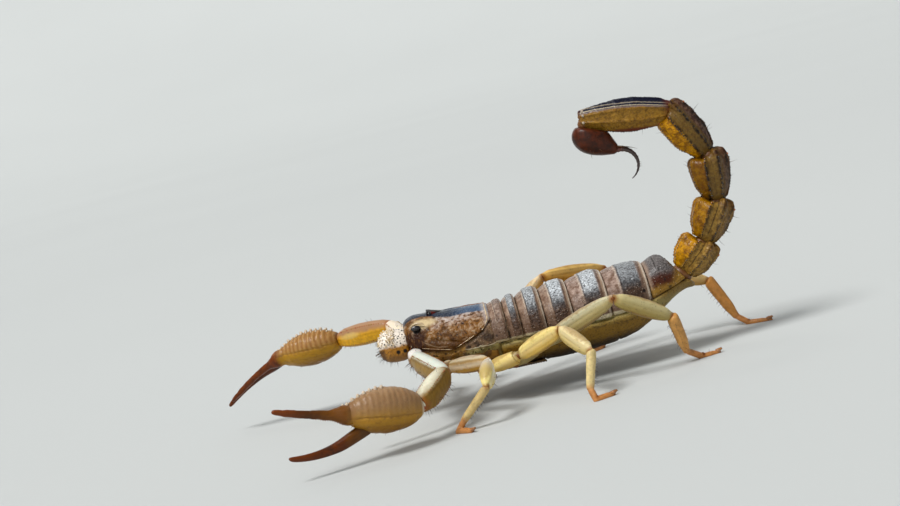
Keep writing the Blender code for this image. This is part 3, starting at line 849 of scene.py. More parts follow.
def shieldFinish():
    plate = Finish("head_shield", head, 0.28, Specular_IOR_Level=0.14, Coat_Roughness=0.1)
    x, y, z = plate.axis("X"), plate.axis("Y").size(), plate.axis("Z")
    wobble = plate.noise(0.9, 4) - 0.5
    patches = plate.noise(1.7, 6, 0.65, warp=0.5)
    plate.colour = plate.mix(patches.step(0.34, 0.5), "flankDark", "flank")
    plate.lay(patches.step(0.5, 0.62) * 0.85, "flankPale")
    smears = plate.noise(0.7, 3).step(0.5, 0.64)
    plate.lay(smears * 0.5, "flankDark")
    plate.lay(plate.cells(1.9).step(0.3, 0.1) * 0.5, "flankPale")
    plate.lay(plate.cells(1.3).step(0.22, 0.08) * 0.8, "flankDark")
    behind = x.step(-6.0, -4.6)
    # mauve patches on the upper flank: partly the shell's own mottling, partly painted sheen
    plate.lay((z + wobble * 1.4).step(8.5, 9.3) * behind * patches.step(0.4, 0.56) * 0.75, "mauve")
    plate.lay((z + wobble * 0.8).step(7.8, 6.9) * 0.8, "low")
    streaks = plate.noise(2.6, 4, 0.6, stretch=(2.2, 1, 0.5))
    front = (x + wobble - (z - 7.5) * 0.25).step(-6.2, -6.9) * z.step(8.9, 8.5)
    plate.lay(front * (streaks.step(0.3, 0.5) * 0.7 + 0.3), "cheek")
    reach = (x + 6.5) ** 2 * 0.4 + (y - 2.3) ** 2 + (z - 9.4) ** 2 * 2.6
    near = reach.maths("SQRT", reach)
    plate.lay((near + wobble * 0.9).step(1.15, 0.35), "cream")
    for side in (-1, 1):      # a dark socket round each side eye
        lens = plate.away((-7.2, side * 2.62, 9.1))
        plate.lay(lens.step(0.55, 0.45), "dots")
    bow = (x + 4.4) ** 2 * 0.16 + 6.75 + wobble * 0.2      # a faint pale arc above the edge
    arc = (z - bow).bell(0, 0.09) * x.step(-7.0, -6.5) * x.step(-4.2, -5.0)
    plate.lay(arc * 0.5, "flankPale")
    lines = plate.noise(3.2, 4, 0.6, stretch=(0.25, 2, 1))
    strip = plate.mix((x + wobble).step(-4.4, -1.6), "strip", "stripRear")
    strip = plate.mix(lines.step(0.48, 0.66) * 0.45, strip, "stripRear")
    wide = x.step(-6.4, -3.6) * 1.05 + 1.15
    top = (y - wide + wobble * 0.5).step(0.2, -0.1)
    plate.lay(top, strip)
    crest = (y + wobble * 0.3).step(0.42, 0.2) * x.step(-3.4, -2.6)
    plate.lay(crest * 0.8, "crest")
    rear = (x + wobble * 0.4).step(-0.7, -0.3)
    plate.lay(rear * 0.5, "mauve")
    grains = plate.cells(4.6).step(0.5, 0.1)
    plate.bump(grains * 0.7 + plate.noise(3, 5, 0.6) * 0.8, 0.6, 0.08)
    plate.set("Coat Weight", top * 0.2 + 0.06)
    return plate.done(plate.noise(4, 3) * 0.24 + 0.14 + (1 - top) * 0.14)


def shieldPiece():
    plate = copyOf("head_shield", "headShield")
    roundOff(plate, 0.075, 6, 0.07, 2, 0.7)
    # a furrow down the middle, one sweeping back from each side eye, and fine granules
    push(plate, -0.12, lambda p: smoothStep(abs(p.y), 0.22, 0.0) * smoothStep(p.x, -4.2, -3.6)
        * smoothStep(p.z, 9.0, 9.3))
    push(plate, -0.1, lambda p: smoothStep(abs(p.z - 7.9 + 0.3 * (p.x + 6.6)), 0.3, 0.0)
        * smoothStep(p.x, -6.9, -6.2) * smoothStep(p.x, -2.4, -4.0))
    flank = group(plate, lambda p: 1.0 if abs(p.y) > 1.5 else 0.35)
    roughen(plate, granules, -0.05, 0.4, flank)
    roughen(plate, waves, 0.1)
    settle(plate)
    finish(plate, shieldFinish(), "shield", "head_shield")


def shieldRim():
    # a thin pale bead along the shield's lower and rear edge
    looks = [((x, 0, z + 0.16), (0, -1, 0)) for x, z in shieldEdge]
    for turn in range(-70, 80, 10):
        looks.append(((-0.12, 0, 6.6), direction(90, 90 - turn)))
    looks += [((x, 0, z + 0.16), (0, 1, 0)) for x, z in reversed(shieldEdge)]
    points = [found[0] for found in (outside("headShield", *look) for look in looks) if found]
    count = len(points)
    rim = tube(points, 0.06, "shieldRim", [min(1, 0.45 + 1.6 * min(n, count - 1 - n) / count)
        for n in range(count)])
    finish(rim, mottled("shield_rim", head, 0.35, "rim", "crest", 2.4, 3, (0.4, 0.66), Coat_Weight=0.3),
        "shield")


def eyeMound():
    # the mound of the middle eyes: a low wedge, steep in front and running out behind
    pick()
    bpy.ops.mesh.primitive_cube_add(size=2)
    mound = bpy.context.object
    mound.name = "eyeMound"
    modify(mound, "SUBSURF", subdivision_type="SIMPLE", levels=3, render_levels=3)
    for vertex in mound.data.vertices:
        back, wide, high = vertex.co.x * 0.5 + 0.5, vertex.co.y, vertex.co.z * 0.5 + 0.5
        roof = 10.34 - 0.42 * back - 0.12 * wide * wide
        vertex.co = (-5.95 + 1.6 * back + 0.12 * high * (1 - back),
            wide * (1.44 - 0.4 * back - 0.34 * high), 9.3 + (roof - 9.3) * high)
    roundOff(mound, 0.06, 3, 0.03, 0)
    settle(mound)
    dark = Finish("eye_mound", head, 0.4, Specular_IOR_Level=0.06, Coat_Weight=0.04, Coat_Roughness=0.1)
    glow = (dark.axis("X") + dark.noise(2, 3) * 0.6).bell(-4.9, 0.4)
    glow = glow * dark.axis("Y").size().step(0.5, 0.8)
    dark.colour = dark.mix(glow * 0.7, "mound", "moundRed")
    finish(mound, dark.done(), "eye", "eye_mound")


def eyeLenses():
    glass = mottled("eye_glass", head, 0.08, (0.002, 0.002, 0.003), (0.012, 0.009, 0.008), 3,
        Specular_IOR_Level=0.45, Coat_Weight=0.2, Coat_Roughness=0.03)
    for side, sign in sides.items():
        lens = copyOf(f"side_eye_{side}", f"sideEye_{side}")
        roundOff(lens, 0.05, 3, 0.03, 2)
        for vertex in lens.data.vertices:      # flattened, and drawn out along the head
            vertex.co.y -= sign * 0.35 * max(0, sign * vertex.co.y - 2.75)
            vertex.co.x += (vertex.co.x + 7.2) * 0.05
            vertex.co.z -= (vertex.co.z - 9.1) * 0.2
        finish(lens, glass, "eye", f"side_eye_{side}")
        pick()
        bpy.ops.mesh.primitive_uv_sphere_add(segments=32, ring_count=16, radius=0.25,
            location=(-5.6, sign * 0.94, 9.98))
        median = bpy.context.object
        median.name = f"middleEye_{side}"
        median.data.transform(Matrix.Translation(median.location))
        median.location = (0, 0, 0)
        finish(median, glass, "eye")
        # a pale brow over each side eye
        brow = tube([(-7.75, sign * 2.28, 9.3), (-7.4, sign * 2.42, 9.5), (-7.0, sign * 2.5, 9.56),
            (-6.6, sign * 2.62, 9.5), (-6.3, sign * 2.74, 9.36)], 0.13, f"brow_{side}",
            (0.3, 0.8, 1, 0.8, 0.3))
        finish(brow, mottled(f"brow_{side}", head, 0.35, "cream", "flankPale", 3, Coat_Weight=0.3),
            "shield")


def jawFinish(name):
    jaw = Finish(name, head, 0.34, Specular_IOR_Level=0.35, Coat_Weight=0.15, Coat_Roughness=0.2)
    x, z = jaw.axis("X"), jaw.axis("Z")
    wobble = jaw.noise(1.6, 3) - 0.5
    jaw.colour = jaw.mix((z + wobble * 0.7).step(7.55, 8.0), "jawLow", "jawTop")
    jaw.lay((z + wobble).step(7.2, 6.6) * 0.6, "ochreDark")
    dots = jaw.cells(3.5, jitter=0.9).step(0.34, 0.24) * (z + wobble).step(7.3, 7.8)
    jaw.lay(dots, "dots")
    small = jaw.cells(5.0).step(0.25, 0.12) * z.step(7.9, 7.2) * 0.7
    jaw.lay(small, "dots")
    for point in ((-9.45, 1.72, 7.15), (-8.75, 1.9, 7.1)):
        for sign in (-1, 1):
            spot = jaw.away((point[0], sign * point[1], point[2])).step(0.3, 0.16)
            jaw.lay(spot, "dots")
    jaw.lay(x.step(-10.6, -10.9) * z.step(7.9, 7.5) * 0.7, "cheek")
    jaw.bump(jaw.cells(4.0).step(0.5, 0.1) * 0.7 + jaw.noise(5, 3) * 0.5, 0.5, 0.06)
    return jaw.done()


def jawPieces():
    warts = []
    for side, sign in sides.items():
        jaw = copyOf(f"jaw_{side}", f"jawShell_{side}")
        roundOff(jaw, 0.06, 4, 0.06, 2, 0.2)
        for vertex in jaw.data.vertices:      # its root reaches back under the shield
            vertex.co.x += 0.5 * smoothStep(vertex.co.x, -10.0, -8.8)
            vertex.co.z -= 0.3 * smoothStep(vertex.co.z, 7.6, 6.6)
        roughen(jaw, fineGranules, -0.05, 0.4)
        settle(jaw)
        finish(jaw, jawFinish(f"jaw_{side}"), "jaw", f"jaw_{side}")
        barrel = Link((-8.78, sign * 1.05, 7.6), (-11.2, sign * 0.9, 7.95))
        for _ in range(260):      # little pale warts over the top and front
            t = chance.uniform(0.35, 1.02)
            found = outside(f"jawShell_{side}", barrel.at(min(t, 0.95)),
                barrel.out(chance.uniform(-85, 85)) + barrel.axis * max(0, t - 0.7) * 5)
            if found:
                size = chance.uniform(0.045, 0.08)
                warts.append(standing(*found, (size, size, size * chance.uniform(1.4, 3.6))))
        for _ in range(80):      # bristles hang below and stand out at the front
            t = chance.uniform(0.3, 1.0)
            found = outside(f"jawShell_{side}", barrel.at(min(t, 0.9)),
                barrel.out(chance.uniform(110, 250)) + barrel.axis * max(0, t - 0.6))
            if found:
                grow(*found, 0.55, (-0.4, 0, -1), 0.6)
        for _ in range(26):
            found = outside(f"jawShell_{side}", barrel.at(0.85), barrel.out(chance.uniform(-80, 80)) * 0.8
                + barrel.axis)
            if found:
                grow(*found, 0.4, (-0.6, 0, 0.4), 0.6)
        teeth = [standing((-10.95 + 0.12 * n, sign * 0.34, 7.15 - 0.1 * n), (0.2, -sign, 0.2),
            0.28 - 0.03 * n) for n in range(3)]
        finish(scatter(thorn, teeth, f"jawTeeth_{side}"), mottled(f"jaw_teeth_{side}", head, 0.2, "cheek",
            "dots", 4, Coat_Weight=0.5), "jaw")
    finish(scatter(bead, warts, "jawWarts"), mottled("jaw_warts", head, 0.3, "jawTop", "rim", 2.5, 3,
        (0.4, 0.6), Coat_Weight=0.3), "jaw")


def breastPiece():
    breast = copyOf("breast", "breastPlates")
    roundOff(breast, 0.09, 4, 0.06, 1, 0.4)
    roughen(breast, waves, 0.1)
    settle(breast)
    coxa = Finish("breast", head, 0.4, Specular_IOR_Level=0.35, Coat_Weight=0.1, Coat_Roughness=0.2)
    z = coxa.axis("Z")
    tone = coxa.noise(1.4, 4, 0.6)
    coxa.colour = coxa.mix(tone.step(0.36, 0.64), "ochreDark", "ochre")
    coxa.lay(z.step(4.2, 3.2) * 0.6, "ochreDark")
    spots = coxa.cells(1.35).step(0.24, 0.14) * z.step(5.2, 5.8)
    coxa.lay(spots * 0.9, "dots")
    coxa.bump(coxa.noise(4, 5, 0.6), 0.5, 0.08)
    finish(breast, coxa.done(), "belly", "breast")


def combPieces():
    # the pair of combs under the belly, each with a row of teeth along its rear edge
    comb = mottled("combs", head, 0.4, "comb", "combDark", 2, 3, (0.4, 0.65), Coat_Weight=0.2)
    for side, sign in sides.items():
        blade = copyOf(f"comb_{side}", f"combBlade_{side}")
        roundOff(blade, 0.05, 3, 0.03, 2)
        middle = sum(vertex.co.z for vertex in blade.data.vertices) / len(blade.data.vertices)
        for vertex in blade.data.vertices:
            vertex.co.z += 0.5 - 0.5 * (vertex.co.z - middle)
        finish(blade, comb, "belly", f"comb_{side}")
        start, end = Vector((1.2, sign * 1.0, 2.72)), Vector((4.4, sign * 2.9, 2.94))
        along = (end - start).normalized()
        back = Vector((along.y, -along.x, 0)) * sign
        teeth = [standing(start.lerp(end, (n + 0.5) / 13) + back * 0.4, along, (0.13, 0.34, 0.12),
            back + Vector((0, 0, -0.6))) for n in range(13)]
        finish(scatter(bead, teeth, f"combTeeth_{side}"), comb, "belly")


shieldPiece()
shieldRim()
eyeMound()
eyeLenses()
jawPieces()
breastPiece()
combPieces()
print("head ready")


tail = {
    "amber": (180, 126, 6), "amberDark": (92, 50, 2), "olive": (158, 122, 52),
    "oliveDark": (92, 64, 24), "keel": (20, 10, 5), "outer": (64, 40, 30),
    "outerPale": (116, 90, 72), "navy": (14, 16, 36), "pale": (206, 190, 160),
    "lavender": (128, 112, 108), "side": (150, 110, 34), "sideDark": (84, 54, 12),
    "rim": (74, 34, 8), "spine": (210, 112, 18), "red": (92, 34, 8),
    "bulb": (84, 34, 10), "bulbDark": (40, 15, 4), "joint": (132, 84, 22),
    "keels": (22.5, 67.5, 112.5, 157.5, -22.5, -67.5, -112.5, -157.5), "radii": (1.8, 1.8, 1.8, 1.75, 1.65),
    # for the first four links: how light inside the curl and beside it, how dark outside and on keels
    "inside": (1.25, 0.78, 0.5, 1.3), "beside": (1.25, 0.95, 0.55, 0.5), "outside": (0.2, 0.35, 0.8, 1.0),
    "onKeels": (0.6, 0.8, 1, 1),
}


def tailLine():
    joints, _ = chain(tailRoot, tailRows)
    return [Link(a, b, (b - a).cross(Vector((0, 1, 0)))) for a, b in zip(joints, joints[1:])]


def tailFinish(number, link):
    # amber on the inner side of the curl, olive flanks with dark keels, dark outer side
    shell = Finish(f"tail_{number}", tail, 0.32, Specular_IOR_Level=0.14, Coat_Weight=0.15,
        Coat_Roughness=0.16, Subsurface_Weight=0.12, Subsurface_Scale=0.0007,
        Subsurface_Radius=(1.0, 0.5, 0.2))
    wobble = shell.noise(1.4, 3) - 0.5
    t = shell.lengthwise(link)
    h = shell.height(link, tail["radii"][number - 1]) + wobble * 0.12
    grain = shell.noise(2.8, 6, 0.72)
    coarse = shell.noise(1.1, 3, 0.6)
    blots = shell.noise(2.0, 3, 0.6).step(0.44, 0.54)
    if number < 5:
        keys = ("inside", "beside", "outside", "onKeels")
        inside, beside, dark, onKeels = (tail[key][number - 1] for key in keys)
        amber = shell.mix(grain.step(0.26, 0.6), "amberDark", shell.dim("amber", inside))
        amber = shell.mix(coarse.step(0.42, 0.72) * 0.75, amber, "amberDark")
        flank = shell.mix(grain.step(0.28, 0.66), "oliveDark", shell.dim("olive", beside))
        outer = shell.mix(grain.step(0.42, 0.68), "outer", "outerPale")
        shell.colour = shell.mix(h.step(0.46, 0.3), amber, flank)
        shell.lay(h.step(-0.4, -0.65) * dark, outer)
        for at, weight in ((0.36, 0.95), (-0.36, 1.0), (-0.9, 0.9)):
            line = h.bell(at, 0.2) * (blots * 0.85 + 0.15)
            shell.lay(line * (weight * onKeels), "keel")
        thin = h.bell(0.0, 0.05) * t.step(0.1, 0.3)
        shell.lay(thin * (0.8 if number < 3 else 0.25), "keel")
        rims = t.step(0.1, 0.0).most(t.step(0.95, 1.0))
        shell.lay(rims * 0.35, "rim")
        gloss = 0.12 - rims * 0.1
    else:
        gloss = 0.12
        bow = (t * 2 - 1) ** 2 * 0.26      # the strip widens towards both ends
        shell.colour = shell.mix(grain.step(0.26, 0.64), "sideDark", "side")
        upper = (h + coarse * 0.5).step(0.0, -0.3)
        shell.lay(upper * 0.6, "sideDark")
        level = h + t * 0.1 - bow
        shell.lay(level.step(-0.36, -0.46) * 0.8, "lavender")
        shell.lay(level.step(-0.44, -0.54), "navy")
        shell.lay(level.bell(-0.54, 0.04) * 0.8, "pale")
        shell.lay(level.bell(-0.7, 0.05) * 0.45, "pale")
        shell.lay(h.step(0.74, 0.92), "red")
        shell.lay(t.step(0.1, 0.0) * 0.8, "red")
        shell.lay(t.step(0.98, 1.02) * 0.6, "red")
    specks = shell.cells(4.6).step(0.26, 0.1) * 0.45
    shell.lay(specks, "keel")
    shell.bump(shell.cells(5).step(0.5, 0.1) * 0.6 + grain * 0.8, 0.6, 0.08)
    shell.set("Coat Weight", gloss)
    return shell.done(grain * 0.25 + 0.32 - gloss)


def tailShell(number, link):
    shell = copyOf(f"tail_{number}", f"tailShell_{number}")
    roundOff(shell, 0.07, 3, 0.06, 1, 0.9)
    stretch(shell, link, 0.5 if number < 5 else 0.25)

    def ridge(point):
        t, angle, _ = link.around(point)
        near = min(abs(angle - keel) for keel in tail["keels"])
        return smoothStep(near, 9, 0) * smoothStep(t, 0.0, 0.1)

    def neck(point):      # drawn in at both ends, deeper on the inner side of the curl
        t, angle, _ = link.around(point)
        inner = smoothStep(abs(angle), 110, 30)
        return smoothStep(t, 0.5, -0.03) * 0.9 + smoothStep(t, 0.86, 1.03) * inner * 0.6

    def swelling(point):
        t, angle, _ = link.around(point)
        inner = smoothStep(abs(angle), 120, 30)
        return smoothStep(t, 0.1, 0.75) * smoothStep(t, 1.05, 0.8) * (0.2 + 0.8 * inner)

    def flare(point):      # the rear corners stand out, below their spines
        t, angle, _ = link.around(point)
        near = min(abs(abs(angle) - keel) for keel in (157.5, 112.5, 22.5))
        return smoothStep(t, 0.6, 1.0) * smoothStep(near, 26, 0)

    push(shell, 0.13, ridge)
    if number < 5:
        push(shell, -0.42, neck)
        push(shell, 0.24, swelling)
        push(shell, 0.22, flare)
    roughen(shell, fineGranules, -0.05, 0.4)
    roughen(shell, waves, 0.12)
    settle(shell)
    finish(shell, tailFinish(number, link), "tail", f"tail_{number}")


def tailGrowths(template, places, name, finishName, roughness, *mottles, **constants):
    material = mottled(finishName, tail, roughness, *mottles, **constants)
    finish(scatter(template, places, name), material, "tail")


def tailPieces():
    beads, spines, pads, knobs = [], [], [], []
    for number, link in enumerate(tailLine(), 1):
        name = f"tailShell_{number}"
        tailShell(number, link)
        count = int(link.length / 0.26)
        for keel in tail["keels"]:
            if number == 5 and abs(keel) > 30:
                continue
            for place in range(1, count):
                found = outside(name, link.at(place / count), link.out(keel))
                if found and chance.random() < 0.85:
                    size = chance.uniform(0.05, 0.085) * (0.8 if number < 3 else 1)
                    beads.append(standing(*found, (size, size * 1.2, size * 0.9), link.axis))
            found = outside(name, link.at(0.94), link.out(keel))
            if found and number < 5:
                size = 0.42 if abs(keel) in (22.5, 157.5) else 0.26
                spines.append(standing(found[0] - link.out(keel) * 0.08, link.out(keel) * 0.7 + link.axis,
                    size, link.axis))
        for _ in range(16):      # a few long bristles on every link
            turn = chance.choice(tail["keels"]) + chance.uniform(-15, 15)
            found = outside(name, link.at(chance.uniform(0.15, 0.95)), link.out(turn))
            if found and chance.random() < 0.6:
                grow(*found, 0.8, link.axis, 0.5)
        size = (0.95, 0.95, 0.6) if number > 1 else (1.15, 1.1, 0.75)
        pads.append(standing(link.start, link.axis, size, link.top))
    last = tailLine()[-1]
    for turn in (180, 150, -150, 112, -112, 68, -68, 22, -22):
        found = outside("tailShell_5", last.at(0.97), last.out(turn))
        if found:
            knobs.append(standing(*found, 0.15, last.axis))
    pads.append(standing(last.at(0.97) + Vector((0, 0, -0.55)), (0, 0, 1), (0.62, 0.62, 0.6)))
    tailGrowths(bead, knobs, "tailKnobs", "tail_knobs", 0.35, "pale", "lavender", 2, Coat_Weight=0.1)
    tailGrowths(bead, beads, "keelBeads", "keel_beads", 0.25, "keel", "rim", 1.2, 3, (0.45, 0.65),
        Coat_Weight=0.5)
    tailGrowths(thorn, spines, "tailSpines", "tail_spines", 0.25, "spine", "rim", 2, Coat_Weight=0.4,
        Subsurface_Weight=0.2, Subsurface_Scale=0.0005)
    tailGrowths(bigBead, pads, "tailJoints", "tail_joints", 0.45, "joint", "rim", 2,
        Subsurface_Weight=0.1, Subsurface_Scale=0.0005)


def stingPieces():
    bulb = copyOf("sting_bulb", "stingBulb")
    roundOff(bulb, 0.07, 10, 0.2, 2, 0.2)
    roughen(bulb, waves, 0.06)
    settle(bulb)
    skin = Finish("sting_bulb", tail, 0.36, Specular_IOR_Level=0.16, Coat_Weight=0.15, Coat_Roughness=0.3,
        Subsurface_Weight=0.08, Subsurface_Scale=0.0006)
    tone = skin.noise(1.4, 5, 0.6)
    skin.colour = skin.mix(tone.step(0.3, 0.7), "bulbDark", "bulb")
    skin.lay(skin.away((13.0, 0, 24.2)).step(1.0, 0.4) * 0.5, "red")
    skin.bump(skin.noise(4, 5, 0.6), 0.35, 0.05)
    finish(bulb, skin.done(tone * 0.2 + 0.26), "bulb", "sting_bulb")
    # the point: a thin curved thorn, ringed near its base
    centre = Vector((16.6, 0, 19.65))
    points, shares = [Vector((15.8, 0, 21.5)), Vector((16.2, 0, 21.38))], [0.95, 1.0]
    for place in range(32):
        angle = math.radians(90 - 155 * place / 31)
        points.append(centre + Vector((math.cos(angle), 0, math.sin(angle))) * 1.65)
        shares.append((1 - 0.85 * (place / 31) ** 1.3) * (1 + 0.16 * (place % 3 == 0)))
    thornPiece = tube(points, 0.27, "stingThorn", shares)
    settle(thornPiece)
    dark = Finish("sting_point", tail, 0.22, Coat_Weight=0.6, Coat_Roughness=0.12)
    dark.colour = dark.mix(dark.axis("X").step(17.4, 16.4), "bulbDark", "red")
    finish(thornPiece, dark.done(), "bulb", "sting_point")
    for rise, length in ((-0.1, 2.5), (0.0, 1.8), (0.1, 1.2)):     # long bristles at its root
        bristles.append((standing((16.0, -0.22, 21.7), (1, -0.1, rise), (1.6, 1.6, length), (0, 0, -1)),
            room(Vector((16.5, 0, 21.4)))))
    for _ in range(26):
        place = points[chance.randrange(5, 28)]
        way = Vector((chance.uniform(-1, 1), chance.uniform(-1, 1), chance.uniform(-1, 1)))
        grow(place, way, 0.42, (1, 0, -0.5))
    for _ in range(26):
        way = Vector((chance.uniform(-0.4, 1), chance.uniform(-1, 1), chance.uniform(-1, 0.6)))
        found = outside("stingBulb", (14.4, 0, 22.9), way)
        if found:
            grow(*found, 0.4, (0.8, 0, -0.5))


tailPieces()
stingPieces()
print("tail ready")


legs = {
    "joint": (146, 86, 36), "foot": (196, 134, 76), "claw": (96, 48, 18),
    "spot": (80, 42, 14), "edge": (134, 88, 30), "ochre": (158, 114, 46),
    # upper and lower colour of thigh, knee piece and shin, the upper partly a painted highlight from above
    "tones": {
        ("left", 1): ((214, 196, 160), (176, 134, 72), (232, 216, 176), (212, 184, 112),
                      (200, 172, 112)),
        ("left", 2): ((206, 196, 168), (168, 124, 44), (250, 246, 228), (232, 214, 138),
                      (202, 176, 118)),
        ("left", 3): ((236, 212, 134), (208, 172, 86), (224, 206, 154), (200, 174, 104),
                      (218, 196, 136)),
        ("left", 4): ((192, 184, 148), (160, 142, 90), (196, 182, 132), (158, 138, 76),
                      (204, 150, 82)),
        ("right", 1): ((210, 180, 124), (168, 124, 60), (214, 188, 124), (186, 148, 76),
                       (194, 148, 88)),
        ("right", 2): ((210, 180, 124), (168, 124, 60), (214, 188, 124), (186, 148, 76),
                       (194, 148, 88)),
        ("right", 3): ((232, 206, 160), (204, 140, 40), (222, 182, 104), (190, 134, 46),
                       (190, 132, 60)),
        ("right", 4): ((222, 190, 132), (190, 136, 54), (222, 190, 128), (188, 146, 78),
                       (196, 136, 68)),
    },
}


limbGloss = {"Specular_IOR_Level": 0.15, "Coat_Weight": 0.12, "Coat_Roughness": 0.2,
    "Subsurface_Weight": 0.14, "Subsurface_Scale": 0.0006, "Subsurface_Radius": (1.0, 0.6, 0.3)}


def limbShell(name, colours):
    return Finish(name, colours, 0.34, **limbGloss)


def limbPiece(template, places, name, slot, finishName, colours, *mottles):
    finish(scatter(template, places, name), mottled(finishName, colours, 0.34, *mottles, **limbGloss), slot)


def ringed(shell, point, size, dark, share=0.85):
    # a darker ring round a joint
    reach = shell.away(point) + (shell.noise(2.5, 2) - 0.5) * 0.25
    shell.lay(reach.step(size, size * 0.45) * share, dark)


def legFinish(side, number, part, joints, links, thick):
    tones = [shade(*tone) for tone in legs["tones"][side, number]]
    shell = limbShell(f"leg_{number}_{side}_{part}", legs)
    grain = shell.noise(2.2, 5, 0.62)
    fineGrain = shell.noise(6, 3, 0.6)
    if part == "foot":
        ankle = shell.away(joints[3])
        length = (joints[4] - joints[3]).length
        shell.colour = shell.mix(grain.step(0.35, 0.7), tones[4], dim(tones[4], 0.72))
        toes = ankle.step(length - 0.4, length + 0.5)
        foot = shell.mix(grain.step(0.35, 0.7), "foot", shell.dim("foot", 0.7))
        shell.lay(toes, foot)
        for joint in joints[4:6]:
            ringed(shell, joint, 0.42, "joint")
        ringed(shell, joints[3], 0.5, "joint")
        shell.lay(shell.away(joints[6]).step(0.5, 0.1) * 0.7, "claw")
    else:
        link = links[1] if part == "femur" else links[2]
        first = 0 if part == "femur" else 2
        h = shell.height(link, thick / 2) + (grain - 0.5) * 0.5
        cut = 0.35 if number == 2 and part == "femur" else -0.1
        # upper colour lighter than the lower: partly the leg's own colour, partly painted light from above
        shell.colour = shell.mix(h.step(cut, cut + 0.6), tones[first + 1], tones[first])
        if number == 2 and part == "patella":
            t = shell.lengthwise(link)
            shell.colour = shell.mix((t + h * 0.1).step(0.75, 0.3), tones[3], tones[2])
        shell.lay(grain.step(0.5, 0.74) * 0.4, dim(tones[first + 1], 0.6))
        specks = shell.cells(4.2).step(0.24, 0.1) * (0.5 if number == 4 else 0.2)
        shell.lay(specks, "spot")
        wide = shell.along(link.side, link.start).size() / (thick * 0.36)
        # painted highlight: a pale band along the middle of the side
        pale = h.size().step(0.6, 0.1) * wide.step(0.4, 0.8)
        shell.lay(pale * 0.35, tones[2])
        # painted shade along the top and bottom edges
        shell.lay(h.size().step(0.7, 1.05) * 0.5, "edge")
        if part == "femur":
            ringed(shell, joints[1] + link.top * 0.4, 0.5 * thick, "spot", 0.7)
            ringed(shell, joints[2], 0.4 * thick, "joint", 0.7)
            shell.lay(shell.away(joints[0]).step(1.4, 0.5) * 0.4, "ochre")
        else:
            ringed(shell, joints[2], 0.42 * thick, "joint", 0.7)
            ringed(shell, joints[3], 0.4 * thick, "joint", 0.8)
    shell.bump(fineGrain * 0.5 + shell.cells(5.4).step(0.4, 0.1) * 0.4, 0.4, 0.05)
    return shell.done(grain * 0.2 + 0.24)


def legShell(side, number, part, joints, links, link):
    name = f"leg{number}{part}_{side}"
    thick = legThickness[number - 1]
    shell = copyOf(f"leg_{number}_{side}_{part}", name)
    roundOff(shell, 0.05 if part == "foot" else 0.06, 4, 0.05, 2, 0.3)
    stretch(shell, link, 0.6 if part != "foot" else 0.3)

    def neck(point):
        t, _, _ = link.around(point)
        return smoothStep(t, 0.14, 0.0) * (t > -0.1) + smoothStep(t, 0.84, 1.0)

    def spindle(point):      # higher than wide along its middle
        t, angle, _ = link.around(point)
        return smoothStep(t, 0.0, 0.45) * smoothStep(t, 1.0, 0.55) * abs(math.cos(math.radians(angle)))

    def hip(point):      # the short first link is nearly as thick as the thigh
        t, _, reach = links[0].around(point)
        return smoothStep(t, 0.0, 0.4) * smoothStep(t, 1.05, 0.9) * (reach < 1.4)

    if part != "foot":
        push(shell, 0.05, keeled(link, (38, 150), 14, 0.15))
        push(shell, -0.1 * thick, neck)
        push(shell, 0.1 * thick, spindle)
    if part == "patella" and number == 2:      # a broad flat knee piece
        push(shell, 0.2, spindle)
    if part == "femur":
        push(shell, 0.14 * thick, hip)
    elif part == "foot" and number == 4:
        push(shell, 0.13, lambda p: smoothStep(link.around(p)[0], 1.0, 0.7))
    roughen(shell, waves, 0.05)
    settle(shell)
    finish(shell, legFinish(side, number, part, joints, links, thick), "foot" if part == "foot" else "leg",
        f"leg_{number}_{side}_{part}")
    for _ in range(26 if part == "foot" else 10):
        piece = chance.choice(links[3:6]) if part == "foot" else link
        growAlong(name, piece, 1, (0.12, 0.95), (60, 300), 0.34 if part == "foot" else 0.45, piece.axis)


def legPieces():
    balls, claws, spurs = [], [], []
    for side, number in legRows:
        joints, ways = legLine(side, number)
        links = [Link(a, b) for a, b in zip(joints, joints[1:])]
        for place, part in enumerate(("femur", "patella", "foot"), 1):
            legShell(side, number, part, joints, links, links[place])
        shin = links[3]
        for place in range(9):      # a stiff row of bristles behind the shin
            for turn in (150, 210):
                found = outside(f"leg{number}foot_{side}", shin.at(0.15 + place * 0.09),
                    shin.out(turn if side == "left" else -turn))
                if found and number > 1:
                    grow(*found, 0.42, shin.axis)
        thick = legThickness[number - 1]
        for at, size in ((1, 0.24), (2, 0.18), (3, 0.18)):
            balls.append(standing(joints[at], ways[at - 1] + ways[at], size * thick))
        for at in (4, 5):
            balls.append(standing(joints[at], ways[at], 0.24))
        balls.append(standing(joints[0] + ways[0] * 0.2, ways[0], 0.36 * thick))
        toe = links[5]
        for turn in (-35, 35):
            claws.append(standing(toe.at(0.97, 0, 0.02), toe.axis + toe.out(turn) * 0.45, 0.62, (0, 0, -1)))
        sole = links[4]
        for turn in (150, 210):
            spurs.append(standing(sole.at(0.86, turn, 0.12), sole.axis + sole.out(turn) * 0.8, 0.36,
                (0, 0, -1)))
    limbPiece(bigBead, balls, "legJoints", "leg", "leg_joints", legs, "joint", "spot", 2)
    horn = mottled("leg_claws", legs, 0.22, "claw", "foot", 2, Coat_Weight=0.5)
    finish(scatter(thorn, claws, "legClaws"), horn, "foot")
    finish(scatter(thorn, spurs, "legSpurs"), horn, "foot")


legPieces()
print("legs ready")


